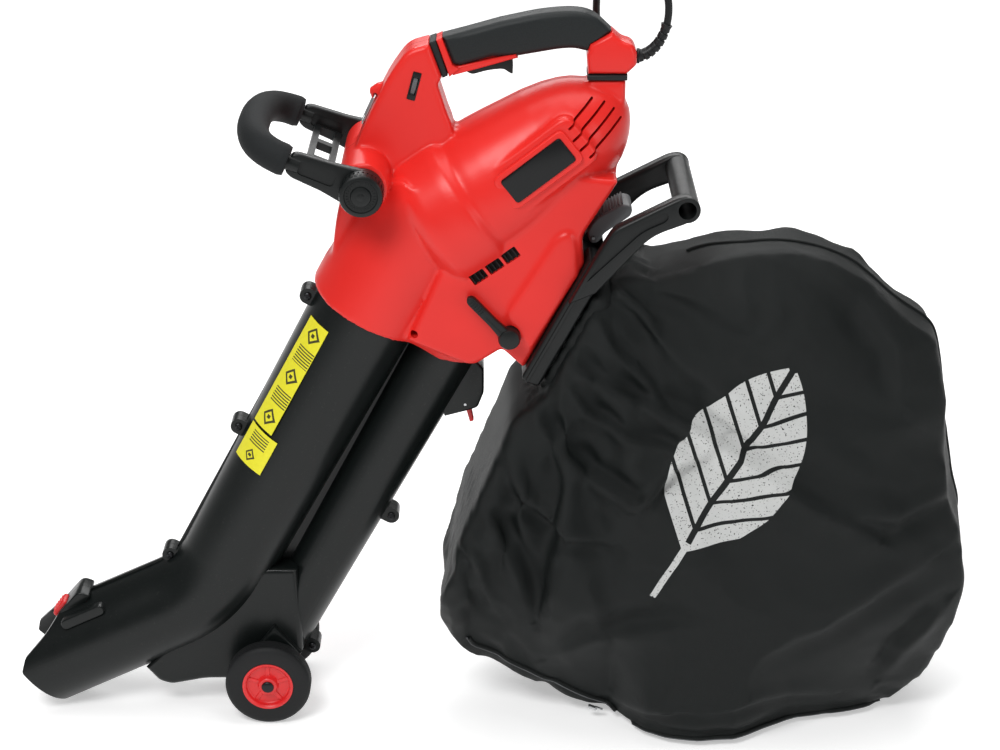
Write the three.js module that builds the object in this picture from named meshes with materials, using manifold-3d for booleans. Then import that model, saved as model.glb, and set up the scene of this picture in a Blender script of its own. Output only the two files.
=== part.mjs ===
// A corded electric leaf blower and vacuum with twin tubes, transport wheels and a collection bag.
// Millimetres, +Z up. The nozzle points to -X, the bag lies to +X, and the left side of the tool is -Y.
// It stands on the floor, z = 0, on its nozzle, its two wheels and the underside of the bag.
import * as THREE from "three";
import { mergeVertices } from "three/addons/utils/BufferGeometryUtils.js";
import Module from "manifold-3d";

const wasm = await Module();
wasm.setup();

// ---- Driving dimensions ---------------------------------------------------------------------------
const GAP = 0.3; // between pieces that touch
const SPLIT = 0.15; // each half shell stops this far from the middle plane
const CENTRE_X = 6.2; // moves the whole tool so that its box is centred on x = 0

const MOTOR = frameAt(-45, 605, 34.5); // fan centre, and the direction from fan to rear motor cap
const TUBE = frameAt(-336, 140, 61.5); // bend of the suction tube, and the direction up it
const NOZZLE = frameAt(-336, 140, 205); // the same bend, and the direction to the mouth
const OUTLET = frameAt(26, 438, 61.8); // lower corner of the bag outlet, and the direction up its face

const SUCTION = { top: 60, bend: 54.5, mouth: 55.5, wall: 3.5 };
const BLOW = { offset: -97.3, top: 39, bottom: 33, wall: 3.2 };
const TUBE_TOP = 445; // how far the tubes reach up into the housing
const FAN = { outer: 84, chamber: 73, low: -34, high: 24, impeller: 66, eye: 44 };
const MOTOR_BAY = 48; // radius of the hollow round the motor
const HOUSING_HALF = 60; // half width of the fan and outlet housing
const GRIP_HALF = 17;
const KNOB = { x: -144, z: 652, r: 23.5, seat: 85, ear: 11, thick: 19, bolt: 4 };
const WHEEL = { x: -267, z: 49, r: 49, hub: 29, inner: 50, outer: 75, axle: 4 };
const SELECTOR = { x: 10, z: 477, angle: 133, arm: 66, flap: 58, shaft: 5 };
const CORD_D = 8;
const BAG_HALF = 128;
const BAG_MIDDLE = [240, 215]; // the bag is widest here
const BAG_BALL = 405; // radius of the ball that rounds the bag, before it is flattened

// ---- Materials ------------------------------------------------------------------------------------
const finish = (color, roughness, metalness = 0) =>
  new THREE.MeshStandardMaterial({ color, roughness, metalness });
const RED = () => finish(0xe2302a, 0.42);
const BLACK = () => finish(0x1c2022, 0.38);
const RUBBER = () => finish(0x25282a, 0.75);
const STEEL = () => finish(0xa9adb0, 0.35, 1);
const COPPER = () => finish(0x9a5a2c, 0.4, 0.8);
const ALLOY = () => finish(0xb9bcc0, 0.4, 0.9);
const CARBON = () => finish(0x2a2a2a, 0.6);
const CLOTH = () => finish(0x101414, 0.85);
const YELLOW = () => finish(0xe9df28, 0.5);
const GREY = () => finish(0x6c7072, 0.5);

// ---- Geometry helpers -----------------------------------------------------------------------------

// A frame in the side plane: an origin and a direction, with the perpendicular 90 degrees ahead of it.
function frameAt(x, z, degrees) {
  const a = THREE.MathUtils.degToRad(degrees);
  return { x, z, a, dx: Math.cos(a), dz: Math.sin(a) };
}

// The side-plane point that lies s along a frame's direction and p along its perpendicular.
function at(frame, s, p = 0) {
  return [frame.x + s * frame.dx - p * frame.dz, frame.z + s * frame.dz + p * frame.dx];
}

function solidOf(geometry) {
  const bare = geometry.clone();
  bare.deleteAttribute("normal");
  bare.deleteAttribute("uv");
  const merged = mergeVertices(bare, 1e-3);
  const kept = [];
  const index = merged.index.array;
  for (let i = 0; i < index.length; i += 3) {
    const [a, b, c] = [index[i], index[i + 1], index[i + 2]];
    if (a !== b && b !== c && c !== a) kept.push(a, b, c);
  }
  const vertProperties = merged.attributes.position.array;
  return new wasm.Manifold(new wasm.Mesh({ numProp: 3, vertProperties, triVerts: new Uint32Array(kept) }));
}

function geometryOf(solid) {
  const made = solid.getMesh();
  const geometry = new THREE.BufferGeometry();
  geometry.setAttribute("position", new THREE.BufferAttribute(made.vertProperties, 3));
  geometry.setIndex(new THREE.BufferAttribute(made.triVerts, 1));
  geometry.computeVertexNormals();
  return geometry;
}

const join = (...solids) => solids.reduce((a, b) => a.add(b));
const cut = (solid, ...tools) => tools.reduce((a, b) => a.subtract(b), solid);

// An outline from its corners, each [x, z] or [x, z, radius of the rounding].
function outline(corners) {
  const points = corners.map(([x, z]) => new THREE.Vector2(x, z));
  const shape = new THREE.Shape();
  corners.forEach((corner, i) => {
    const here = points[i];
    const before = points[(i + points.length - 1) % points.length];
    const after = points[(i + 1) % points.length];
    const radius = corner[2] ?? 0;
    const start = here.clone().lerp(before, Math.min(0.49, radius / here.distanceTo(before)));
    const end = here.clone().lerp(after, Math.min(0.49, radius / here.distanceTo(after)));
    if (i === 0) shape.moveTo(start.x, start.y);
    else shape.lineTo(start.x, start.y);
    if (radius > 0) shape.quadraticCurveTo(here.x, here.y, end.x, end.y);
  });
  return shape;
}

// A plate with its outline in the side plane, its thickness from y0 to y1, and rounded rims.
function plate(corners, y0, y1, rim = 0, rimSteps = 2) {
  const geometry = new THREE.ExtrudeGeometry(outline(corners), {
    depth: y1 - y0 - 2 * rim,
    bevelEnabled: rim > 0,
    bevelThickness: rim,
    bevelSize: rim,
    bevelOffset: -rim,
    bevelSegments: rimSteps,
    curveSegments: 2,
  });
  geometry.rotateX(Math.PI / 2);
  geometry.translate(0, y1 - rim, 0);
  return solidOf(geometry);
}

// A round bar between two points, with a radius at each end.
function rod(from, to, r0, r1 = r0, sides = 12) {
  const a = new THREE.Vector3(...from);
  const b = new THREE.Vector3(...to);
  const geometry = new THREE.CylinderGeometry(r1, r0, a.distanceTo(b), sides);
  const turn = new THREE.Quaternion().setFromUnitVectors(
    new THREE.Vector3(0, 1, 0),
    b.clone().sub(a).normalize(),
  );
  geometry.applyQuaternion(turn);
  const middle = a.clone().add(b).multiplyScalar(0.5);
  geometry.translate(middle.x, middle.y, middle.z);
  return solidOf(geometry);
}

// A round bar across the tool, along Y.
const pin = (x, z, y0, y1, r0, r1 = r0, sides = 12) => rod([x, y0, z], [x, y1, z], r0, r1, sides);

// A turned piece on a frame's direction, from a closed profile of [distance along, radius].
function turned(frame, profile, sides = 18) {
  const points = profile.map(([s, r]) => new THREE.Vector2(Math.max(r, 0), s));
  const geometry = new THREE.LatheGeometry(points, sides);
  geometry.applyQuaternion(
    new THREE.Quaternion().setFromUnitVectors(
      new THREE.Vector3(0, 1, 0),
      new THREE.Vector3(frame.dx, 0, frame.dz),
    ),
  );
  geometry.translate(frame.x, 0, frame.z);
  return solidOf(geometry);
}

// A bar along a frame: from s0 to s1 at height p, radius r0 to r1.
function bar(frame, s0, s1, p, r0, r1 = r0, sides = 18) {
  const [x0, z0] = at(frame, s0, p);
  const [x1, z1] = at(frame, s1, p);
  return rod([x0, 0, z0], [x1, 0, z1], r0, r1, sides);
}

// A block in a frame: from s0 to s1 along it, p0 to p1 across it, and y0 to y1.
function block(frame, s0, s1, p0, p1, y0, y1, rim = 0) {
  return plate([at(frame, s0, p0), at(frame, s1, p0), at(frame, s1, p1), at(frame, s0, p1)], y0, y1, rim);
}

const HALF_SPACE = 900;
const leftOf = (solid) =>
  solid.intersect(plate([[-700, -100], [700, -100], [700, 1000], [-700, 1000]], -HALF_SPACE, -SPLIT));
const rightOf = (solid) =>
  solid.intersect(plate([[-700, -100], [700, -100], [700, 1000], [-700, 1000]], SPLIT, HALF_SPACE));

const blower = new THREE.Group();
blower.position.set(CENTRE_X, 0, 0);

function add(name, solid, material) {
  const mesh = new THREE.Mesh(geometryOf(solid), material);
  mesh.name = name;
  blower.add(mesh);
}

// ---- Motor and fan housing ------------------------------------------------------------------------

const STRUT = [
  [-74.5, 790], [-97, 784, 10], [-118, 756, 20], [-150, 690, 20], [-176, 606, 20], [-184, 545],
  [-120, 545], [-45, 620], [-50, 700, 6], [-56, 716], [-66, 748, 4], [-61, 752.5],
];
const OUTLET_BOX = [
  [-30, 440], [2, 461], [26, 438], at(OUTLET, 136), [88, 590], [126, 652], [60, 660], [-60, 560], [-100, 470],
];
const SKIRT = [
  [-184, 556, 6], [-201, 541, 8], [-204, 522, 4], [-128, 462, 30], [-66, 441, 20], [-24, 441],
  [-10, 470], [40, 560], [-60, 660], [-150, 640],
];

function motorBarrel() {
  return turned(MOTOR, [
    [20, 0], [20, 77], [60, 76], [104, 71], [128, 68], [150, 63], [179, 52], [196, 41], [209, 28], [216, 0],
  ]);
}

function fanCasing() {
  return turned(MOTOR, [[-46, 0], [-46, 62], [-36, 78], [-26, FAN.outer], [18, FAN.outer], [27, 76], [27, 0]]);
}

// The lower skirt: round where it holds the suction tube, narrower where it holds the blow tube.
function skirt() {
  const column = join(
    bar(TUBE, 395, 560, 0, 68),
    block(TUBE, 395, 560, BLOW.offset - 30, 0, -52, 52),
    bar(TUBE, 395, 560, BLOW.offset, 47),
  );
  return column.intersect(plate(SKIRT, -90, 90));
}

const BADGE = frameAt(...at(MOTOR, 106, 4), 38);

function housingBody() {
  return join(
    plate(STRUT, -26, 26, 8),
    plate(OUTLET_BOX, -HOUSING_HALF, HOUSING_HALF, 9),
    skirt(),
    fanCasing(),
    motorBarrel(),
    plate([[94, 700], [133, 700], [133, 749.7], [94, 749.7]], -19, 19, 4),
    pin(KNOB.x, KNOB.z, -KNOB.seat, KNOB.seat, 27, 27, 20),
    block(BADGE, -46, 46, -21, 21, -74, -50, 3),
    plate([[-140, 736], [-128, 744], [-124, 728], [-133, 718]], -6, 6),
  );
}

// Everything that the closed housing is hollow for.
function housingHollows() {
  const duct = [
    [-62, 600], [30, 572], at(OUTLET, 122, -2), at(OUTLET, 122, -60), at(OUTLET, 8, -60),
    at(OUTLET, 8, 4), [2, 464], [-20, 452], [-60, 470],
  ];
  return join(
    turned(MOTOR, [[FAN.low, 0], [FAN.low, FAN.chamber], [FAN.high, FAN.chamber], [FAN.high, 0]]),
    turned(MOTOR, [[FAN.high + 4, 0], [FAN.high + 4, MOTOR_BAY], [180, MOTOR_BAY - 3], [196, 30], [196, 0]]),
    bar(MOTOR, FAN.high - 2, FAN.high + 8, 0, 11.3, 11.3, 12),
    bar(MOTOR, -62, FAN.low + 1, 0, FAN.eye + 6, FAN.eye),
    bar(TUBE, 380, TUBE_TOP + 3, 0, SUCTION.top + 1.6),
    bar(TUBE, TUBE_TOP, 480, 0, 56, 44),
    bar(TUBE, 380, TUBE_TOP + 3, BLOW.offset, BLOW.top + 1.6),
    bar(TUBE, TUBE_TOP - 2, 470, BLOW.offset, 35, 35),
    block(TUBE, 380, TUBE_TOP + 3, BLOW.offset + 34, -50, -8, 8),
    plate(duct, -44, 44, 6),
  );
}

function strutHollow() {
  const inner = [
    [-84, 778], [-98, 772, 8], [-112, 750, 12], [-144, 688, 10], [-158, 640], [-120, 640], [-64, 690],
    [-66, 715], [-76, 748],
  ];
  return plate(inner, -20, 20, 4);
}

// Four slots each side, one below the other round the rear of the motor.
function coolingSlots() {
  const row = frameAt(84.5, 723.5, -45);
  const slots = [18, 24, 26, 24].map((half, i) => {
    const slot = frameAt(...at(row, 12.5 * i), 43.5);
    return join(block(slot, -half, half, -1.5, 1.5, -70, -12), block(slot, -half, half, -1.5, 1.5, 12, 70));
  });
  return join(...slots);
}

function exhaustVents() {
  const vents = [[-21, 541, 9], [1, 555, 12], [18, 569, 9]].map(([x, z, half]) =>
    join(
      block(frameAt(x, z, 30), -half, half, -6, 6, -70, -38),
      block(frameAt(x, z, 30), -half, half, -6, 6, 38, 70),
    ),
  );
  return join(...vents);
}

function buildHousing() {
  const [dialX, dialZ] = DIAL.at;
  const body = cut(
    housingBody(),
    housingHollows(),
    strutHollow(),
    coolingSlots(),
    exhaustVents(),
    pin(KNOB.x, KNOB.z, -90, 90, KNOB.bolt + 0.4),
    pin(SELECTOR.x, SELECTOR.z, -70, 52, SELECTOR.shaft + 0.5),
    pin(-93, 478, -80, -44, 4, 4, 12),
    plate([[86, 749.7], [145, 749.7], [145, 775], [86, 775]], -40, 40),
    block(frameAt(dialX, dialZ, 75), -14.5, 14.5, -3.4, 3.4, -40, -8),
    pin(-132.5, 731, -8, 8, 1.9, 1.9, 12),
  );
  add("housing_left", leftOf(body), RED());
  add("housing_right", rightOf(body), RED());
  add("badge_plate", block(BADGE, -39, 39, -15, 15, -76.8, -75.3), BLACK());
}

// ---- Motor, bearings and fan ----------------------------------------------------------------------

function ring(frame, s0, s1, inner, outer, sides = 18) {
  return turned(frame, [[s0, inner], [s0, outer], [s1, outer], [s1, inner], [s0, inner]], sides);
}

function impeller() {
  const hub = turned(MOTOR, [
    [-18, 6.3], [-18, 14], [8, 20], [14, FAN.impeller], [17, FAN.impeller], [17, 6.3], [-18, 6.3],
  ]);
  const blades = [];
  const count = 10;
  for (let i = 0; i < count; i += 1) {
    const blade = new THREE.BoxGeometry(46, 34, 3);
    blade.translate(40, 0, 0);
    blade.rotateY((i * 2 * Math.PI) / count);
    blade.applyQuaternion(
      new THREE.Quaternion().setFromUnitVectors(
        new THREE.Vector3(0, 1, 0),
        new THREE.Vector3(MOTOR.dx, 0, MOTOR.dz),
      ),
    );
    blade.translate(MOTOR.x - 3 * MOTOR.dx, 0, MOTOR.z - 3 * MOTOR.dz);
    blades.push(solidOf(blade));
  }
  return join(hub, ...blades);
}

function buildMotor() {
  add("motor_stator", ring(MOTOR, 52, 112, 29, 46), STEEL());
  add(
    "motor_armature",
    join(
      bar(MOTOR, -24, 156, 0, 6, 6, 12),
      bar(MOTOR, 50, 114, 0, 27.5, 27.5, 16),
      bar(MOTOR, 120, 140, 0, 15, 15, 16),
    ),
    COPPER(),
  );
  add("front_bearing", ring(MOTOR, 22.5, 31, 6.3, 11, 12), STEEL());
  add("rear_bearing", ring(MOTOR, 144, 153, 6.3, 13, 12), STEEL());
  add(
    "rear_bearing_bridge",
    join(
      ring(MOTOR, 144.5, 152.5, 13.5, 20, 12),
      block(MOTOR, 144.5, 152.5, 18, 42, -7, 7),
      block(MOTOR, 144.5, 152.5, -42, -18, -7, 7),
    ),
    ALLOY(),
  );
  for (const [side, sign] of [["left", -1], ["right", 1]]) {
    const y0 = sign < 0 ? -34 : 15.3;
    add("brush_" + side, block(MOTOR, 124, 136, -4, 4, y0, y0 + 18.7), CARBON());
  }
  add("impeller", impeller(), ALLOY());
  const nut = turned(MOTOR, [[-24, 0], [-24, 10.5], [-18 - GAP, 10.5], [-18 - GAP, 0]], 6);
  add("impeller_nut", cut(nut, bar(MOTOR, -30, -10, 0, 6.3, 6.3, 12)), STEEL());
}

// ---- Handle with its isolating rings, trigger and speed dial ---------------------------------------

const GRIP = [
  [-60.5, 795.5], [-32, 803], [0, 812], [42, 821, 12], [76, 824, 12], [98, 820, 10], [117, 802],
  [92, 780], [78, 783.5], [62, 782.5], [19, 775], [-8, 774.5], [-42, 762.5], [-50, 765],
];
const HANDLE_CORE = [
  [-66.5, 792], [-60.5, 789], [-32, 798], [0, 807], [42, 816, 12], [76, 819, 12], [92, 816, 8], [108, 801],
  [106, 795], [96, 787], [80, 788, 8], [62, 787, 10], [19, 779], [19, 771.5, 4], [0, 766.5], [-32, 757.5],
  [-53, 752.5], [-54, 755],
];
const GRIP_BORE = [
  [-61, 789.4], [-32, 798.4], [0, 807.4], [42, 816.3, 12], [76, 819.3, 12], [92, 816.3, 8], [109, 801],
  [107, 794.5], [96, 786.6], [80, 787.6, 8], [62, 786.6, 10], [19, 778.6], [19, 760], [-70, 745],
];
const REAR_KNUCKLE = [
  [118, 801], [128, 792, 3], [140, 788, 5], [144.2, 779], [144.2, 766], [138, 760, 4], [133.5, 756],
  [93, 756], [91.5, 776.5], [94.5, 788.7],
];
const DIAL = { at: at(frameAt(-90.5, 746, 75), 0), radius: 14, y: -15.2 };
const TRIGGER_PIVOT = [-38, 764];

function buildHandle() {
  const collar = [[-67, 792.3], [-61, 795.2], [-50, 766], [-42, 762], [-53.5, 753]];
  const core = join(
    plate(HANDLE_CORE, -12.5, 12.5, 1.5, 1),
    plate(collar, -GRIP_HALF, GRIP_HALF, 2),
    plate(REAR_KNUCKLE, -19, 19, 5),
  );
  const strip = plate([[-50, 754], [-32, 759], [0, 768], [17, 773], [17, 778], [-46, 764]], -14.5, 14.5, 2);
  const bay = [[-46, 745], [18, 758], [18, 796], [-10, 796], [-46, 786]];
  const wireWay = [[14, 786], [60, 794], [80, 797], [80, 806], [14, 800]];
  const body = cut(
    join(core, strip),
    plate(bay, -8.6, 8.6),
    plate(wireWay, -6, 6),
    rod([125, 0, 772], [160, 0, 772], 5.6),
    plate([[70, 790], [100, 790], [130, 776], [130, 768], [110, 768], [96, 784]], -6, 6),
    pin(TRIGGER_PIVOT[0], TRIGGER_PIVOT[1], -11, 11, 1.8, 1.8, 12),
  );
  add("handle_left", leftOf(body), RED());
  add("handle_right", rightOf(body), RED());

  const sleeve = cut(
    plate(GRIP, -GRIP_HALF, GRIP_HALF, 3.5, 2),
    plate(GRIP_BORE, -12.8, 12.8),
    plate([[-80, 800], [-60.6, 800], [-60.6, 795.5], [-49.5, 766.8], [-46, 764.5], [17.5, 778.6], [17.5, 740],
      [-80, 740]], -30, 30),
    plate([[119, 802.5], [94.1, 789.4], [91.1, 776.6], [91, 750], [150, 750], [150, 802.5]], -30, 30),
  );
  add("grip_cover", sleeve, RUBBER());
  const frontRing = [[-74.2, 790.3], [-67.6, 792.6], [-55.2, 754.8], [-60.7, 752.3]];
  add("isolator_front", plate(frontRing, -GRIP_HALF - 1, GRIP_HALF + 1, 3), RUBBER());
  add("isolator_rear", plate([[92.5, 750], [134.5, 750], [134.5, 755.7], [92.5, 755.7]], -20, 20, 1.5), RUBBER());
}

function buildTrigger() {
  const [px, pz] = TRIGGER_PIVOT;
  const blade = [
    [px - 4, pz - 3, 3], [px - 4, pz + 4, 3], [-20, 772], [8, 778], [14, 768], [13.5, 754, 1.5],
    [9, 756, 2], [4, 760, 3], [-30, 753.5, 3],
  ];
  add("trigger", cut(plate(blade, -7.6, 7.6), pin(px, pz, -12, 12, 1.9, 1.9, 12)), BLACK());
  add("trigger_pin", pin(px, pz, -10.5, 10.5, 1.5, 1.5, 12), STEEL());
  add("switch_body", plate([[-14, 784.5], [14, 784.5], [14, 795], [-10, 795], [-14, 792]], -8, 8, 1), BLACK());
  add("trigger_spring", rod([-2, 0, 777.5], [-2, 0, 784], 3, 3, 12), STEEL());
}

function buildDial() {
  const [x, z] = DIAL.at;
  const frame = frameAt(x, z, 165);
  const s0 = -2.5;
  const disc = rod(
    [x + s0 * frame.dx, DIAL.y, z + s0 * frame.dz], [x - s0 * frame.dx, DIAL.y, z - s0 * frame.dz],
    DIAL.radius, DIAL.radius, 20,
  );
  const s = 4.5;
  const bore = rod([x - s * frame.dx, DIAL.y, z - s * frame.dz], [x + s * frame.dx, DIAL.y, z + s * frame.dz], 2.4);
  add("speed_dial", cut(disc, bore), GREY());
  const r = 7;
  add(
    "dial_spindle",
    rod([x - r * frame.dx, DIAL.y, z - r * frame.dz], [x + r * frame.dx, DIAL.y, z + r * frame.dz], 2, 2, 12),
    BLACK(),
  );
}

// ---- Mains lead -----------------------------------------------------------------------------------

const LEAD_ROUTE = [
  [176, 0, 806], [177.4, 1, 818], [176.5, 3.5, 832], [171, 7, 847], [161, 12, 859], [147, 18, 866],
  [132, 24, 866], [119, 29, 859], [109, 34, 847], [104, 38.5, 832], [103, 43, 815], [104, 48, 795],
  [106, 55, 772], [108, 63, 748], [108, 72, 722], [106, 81, 696], [102, 89, 670], [97, 96, 644],
  [91, 101, 622], [87, 104, 606],
];

function sweep(points, radius, steps, sides) {
  const path = new THREE.CatmullRomCurve3(points.map((p) => new THREE.Vector3(...p)), false, "centripetal");
  const section = new THREE.Shape();
  for (let i = 0; i < sides; i += 1) {
    const a = (i * 2 * Math.PI) / sides;
    if (i === 0) section.moveTo(radius, 0);
    else section.lineTo(radius * Math.cos(a), radius * Math.sin(a));
  }
  return solidOf(new THREE.ExtrudeGeometry(section, { extrudePath: path, steps, bevelEnabled: false }));
}

function buildLead() {
  const boot = join(
    rod([144.6, 0, 772], [148, 0, 772], 8.2),
    sweep([[147, 0, 772], [155, 0, 774.5], [163, 0, 781], [170, 0, 790], [174.5, 0, 800], [175.8, 0, 805.4]],
      5.4, 6, 10),
    rod([130, 0, 772], [147, 0, 772], 4.9),
    rod([175, 0, 801.5], [175.8, 0, 805.6], 6.4, 6.4, 12),
  );
  add("lead_boot", boot, RUBBER());
  add("mains_lead", sweep(LEAD_ROUTE, CORD_D / 2, 30, 8), RUBBER());
  const [x, y, z] = LEAD_ROUTE.at(-1);
  const down = new THREE.Vector3(-4, 3, -16).normalize();
  const far = (d) => [x + down.x * d, y + down.y * d, z + down.z * d];
  const pins = [-9.5, 9.5].map((side) => {
    const [ax, ay, az] = far(40);
    const [bx, by, bz] = far(69);
    return rod([ax, ay + side, az], [bx, by + side, bz], 2.4, 2.4, 8);
  });
  add(
    "mains_plug",
    join(rod(far(0.6), far(18), 5.2, 9.5, 10), rod(far(17.5), far(38), 12, 17.5, 14), rod(far(37.8), far(50), 17.5, 17, 14),
      ...pins),
    RUBBER(),
  );
}

// ---- Front handle ---------------------------------------------------------------------------------

function buildFrontHandle() {
  const swing = frameAt(KNOB.x, KNOB.z, 157.5);
  const seat = KNOB.seat + GAP;
  const ears = [];
  for (const sign of [-1, 1]) {
    const y0 = sign < 0 ? -seat - KNOB.ear : seat;
    const side = join(
      pin(KNOB.x, KNOB.z, y0, y0 + KNOB.ear, 23, 23, 24),
      plate([at(swing, 4, -23), at(swing, 30, -18), at(swing, 66, -15), at(swing, 78, -15), at(swing, 78, 14),
        at(swing, 60, 16), at(swing, 34, 17), at(swing, 4, 23)], y0, y0 + KNOB.ear, 2, 1),
    );
    ears.push(side);
  }
  const web = cut(
    block(swing, 36, 62, 4, 12, -seat - 4, seat + 4),
    block(swing, 42, 57, -10, 30, -52, 52),
  );
  const yoke = cut(
    join(...ears, web, loopBar(swing, 9, 70, 8, 14)),
    pin(KNOB.x, KNOB.z, -120, 120, KNOB.bolt + 0.5),
  );
  add("front_handle_yoke", yoke, BLACK());
  const foam = cut(loopBar(swing, 18.5, 80, 10, 14), loopBar(swing, 9.7, 70, 8, 14));
  add("foam_grip", foam, RUBBER());
  add("clamp_bolt", pin(KNOB.x, KNOB.z, -108, 108, KNOB.bolt, KNOB.bolt, 16), STEEL());
  for (const [name, sign] of [["knob_left", -1], ["knob_right", 1]]) {
    const inner = sign * (seat + KNOB.ear + GAP);
    const outer = inner + sign * KNOB.thick;
    const blank = join(
      pin(KNOB.x, KNOB.z, inner, outer - sign * 2, KNOB.r, KNOB.r, 20),
      pin(KNOB.x, KNOB.z, outer - sign * 2.2, outer, KNOB.r - 3, KNOB.r - 6, 20),
    );
    add(name, cut(blank, pin(KNOB.x, KNOB.z, sign * 90, sign * 108.6, KNOB.bolt + 0.4)), BLACK());
  }
}

// The loop of the front handle: out along one side, round the front and back along the other.
function loopBar(swing, radius, from, sides, steps) {
  const spine = [[from, 91], [96, 89], [112, 78], [122, 58], [127, 32], [128, 0]];
  const there = spine.map(([d, y]) => {
    const [x, z] = at(swing, d);
    return [x, y, z];
  });
  const back = there.slice(0, -1).reverse().map(([x, y, z]) => [x, -y, z]);
  return sweep([...there, ...back], radius, steps, sides);
}

// ---- Mode selector and flap -----------------------------------------------------------------------

function buildSelector() {
  const y = HOUSING_HALF + GAP;
  const lever = frameAt(SELECTOR.x, SELECTOR.z, SELECTOR.angle);
  const arm = cut(
    join(
      pin(SELECTOR.x, SELECTOR.z, -y - 15, -y, 12, 12, 20),
      block(lever, 0, SELECTOR.arm, -5, 5, -y - 13, -y - 4, 2),
    ),
    pin(SELECTOR.x, SELECTOR.z, -y - 12, -y + 1, SELECTOR.shaft + 0.3),
  );
  add("selector_lever", arm, BLACK());
  add(
    "diverter_flap",
    join(
      pin(SELECTOR.x, SELECTOR.z, -y - 11.5, 51, SELECTOR.shaft),
      block(lever, 0, SELECTOR.flap, -2, 2, -42, 42),
    ),
    BLACK(),
  );
}

// ---- Twin tubes -----------------------------------------------------------------------------------

const MOUTH = [
  [-505, 0], [-553, 55, 3], [-549, 71, 3], [-526, 96, 6], [-509, 119, 6], [-488, 143, 6], [-440, 200],
  [-300, 260], [-200, 140], [-240, -20], [-505, -20],
];
const CRADLE = [
  [-549, 71], [-526, 96], [-509, 119], [-488, 143], [-474, 137], [-496, 100], [-512, 80], [-536, 58],
];
const BUTTON = frameAt(-510, 114, 53); // middle of the button's seat, and the direction up the slope
const LOCK_PIVOT = [-39, 377];
const TOE = [
  [-228, 76], [-246, 42, 6], [-262, 34, 6], [-285, 36, 6], [-343, 36, 6], [-384, 28, 4], [-398, 33, 3],
  [-413, 51], [-372, 92], [-300, 180], [-232, 180],
];

// A half space on the far side of the line that bisects the bend.
// The two sides share a slice as thick as twice the slack, so that they join.
function bendSide(sign, slack) {
  const mitre = frameAt(TUBE.x, TUBE.z, 43.25);
  return block(mitre, sign > 0 ? -slack : -500, sign > 0 ? 700 : slack, -260, 260, -90, 90);
}

// The suction tube and its nozzle as one bent bar, thinner by off all round.
function suctionBar(off) {
  const top = TUBE_TOP + (off > 0 ? 5 : 0);
  const upper = bar(TUBE, -60, top, 0, SUCTION.bend - off - 0.7, SUCTION.top - off, 20);
  const nozzle = bar(NOZZLE, -50, 250, 0, SUCTION.bend - off, SUCTION.mouth - off, 20);
  const slack = off > 0 ? 2 : 0.5;
  return join(upper.intersect(bendSide(1, slack)), nozzle.intersect(bendSide(-1, slack)));
}

// The straight part of the blow tube, thinner by off all round.
function blowBar(off) {
  const top = TUBE_TOP + (off > 0 ? 5 : 0);
  return bar(TUBE, -10, top, BLOW.offset, BLOW.bottom - off, BLOW.top - off, 16);
}

const LUGS = [[380, 64.5], [203, 62.5], [20, 61], [186, -140], [-8, -137]];

function lugPins(radius, y0, y1, sides) {
  return LUGS.map(([s, p]) => {
    const [x, z] = at(TUBE, s, p);
    return pin(x, z, y0, y1, radius, radius, sides);
  });
}

function buildTubes() {
  const lockBlock = [[-62, 363], [-36, 370], [-25, 374], [-18, 392], [-18, 420], [-30, 434], [-80, 420]];
  const toeInner = [[-232, 80], [-246, 54], [-300, 42], [-343, 40], [-380, 33], [-420, 20], [-430, 62],
    [-385, 92], [-300, 160], [-240, 150]];
  const outer = join(
    suctionBar(0),
    blowBar(0),
    block(TUBE, -20, TUBE_TOP, BLOW.offset + 33, -50, -5, 5),
    plate(TOE, -36, 36, 5, 1),
    ...lugPins(9, -12, 12, 12),
    plate(lockBlock, -18, 18, 2, 1),
    plate(CRADLE, -20, 20),
    pin(WHEEL.x, WHEEL.z, -46, 46, 11, 11, 16),
    plate([[-300, 60], [-262, 36], [-248, 40], [-230, 75], [-260, 110]], -44, 44, 3, 1),
  );
  const kept = cut(outer, suctionBar(SUCTION.wall));
  const body = cut(
    kept.intersect(join(plate(MOUTH, -90, 90), block(TUBE, -40, 600, -300, 300, -90, 90))),
    blowBar(BLOW.wall),
    plate(toeInner, -31, 31, 6, 1).subtract(suctionBar(0)),
    pin(WHEEL.x, WHEEL.z, -60, 60, WHEEL.axle + 0.2),
    ...lugPins(2.5, -20, 20, 10),
    plate([[-50, 355], [-28, 355], [-28, 385], [-50, 385]], -5.3, 5.3),
    block(BUTTON, -12, 12, -7.6, 20, -12, 12),
    pin(...LOCK_PIVOT, -20, 20, 1.9),
  );
  add("tube_left", leftOf(body), BLACK());
  add("tube_right", rightOf(body), BLACK());
  LUGS.forEach(([s, p], i) => {
    const [x, z] = at(TUBE, s, p);
    add("tube_screw_" + (i + 1), join(pin(x, z, -13, 10, 2.1, 2.1, 10), pin(x, z, -15, -12 - GAP, 4.3, 4.3, 12)), STEEL());
  });
}

function buildTubeControls() {
  add("nozzle_button", join(block(BUTTON, -11, 11, -1.5, 8, -11, 11, 2), block(BUTTON, -7, 7, -3, 0, -7, 7)), RED());
  const lever = [[-45, 372], [-40, 382, 3], [-33, 378, 3], [-33, 372], [-29.5, 352, 1], [-34, 350.5, 1], [-38, 366]];
  add("tube_lock_lever", cut(plate(lever, -4.6, 4.6), pin(...LOCK_PIVOT, -8, 8, 1.9)), RED());
  add("tube_lock_pin", pin(...LOCK_PIVOT, -17, 17, 1.5), STEEL());
}

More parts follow.
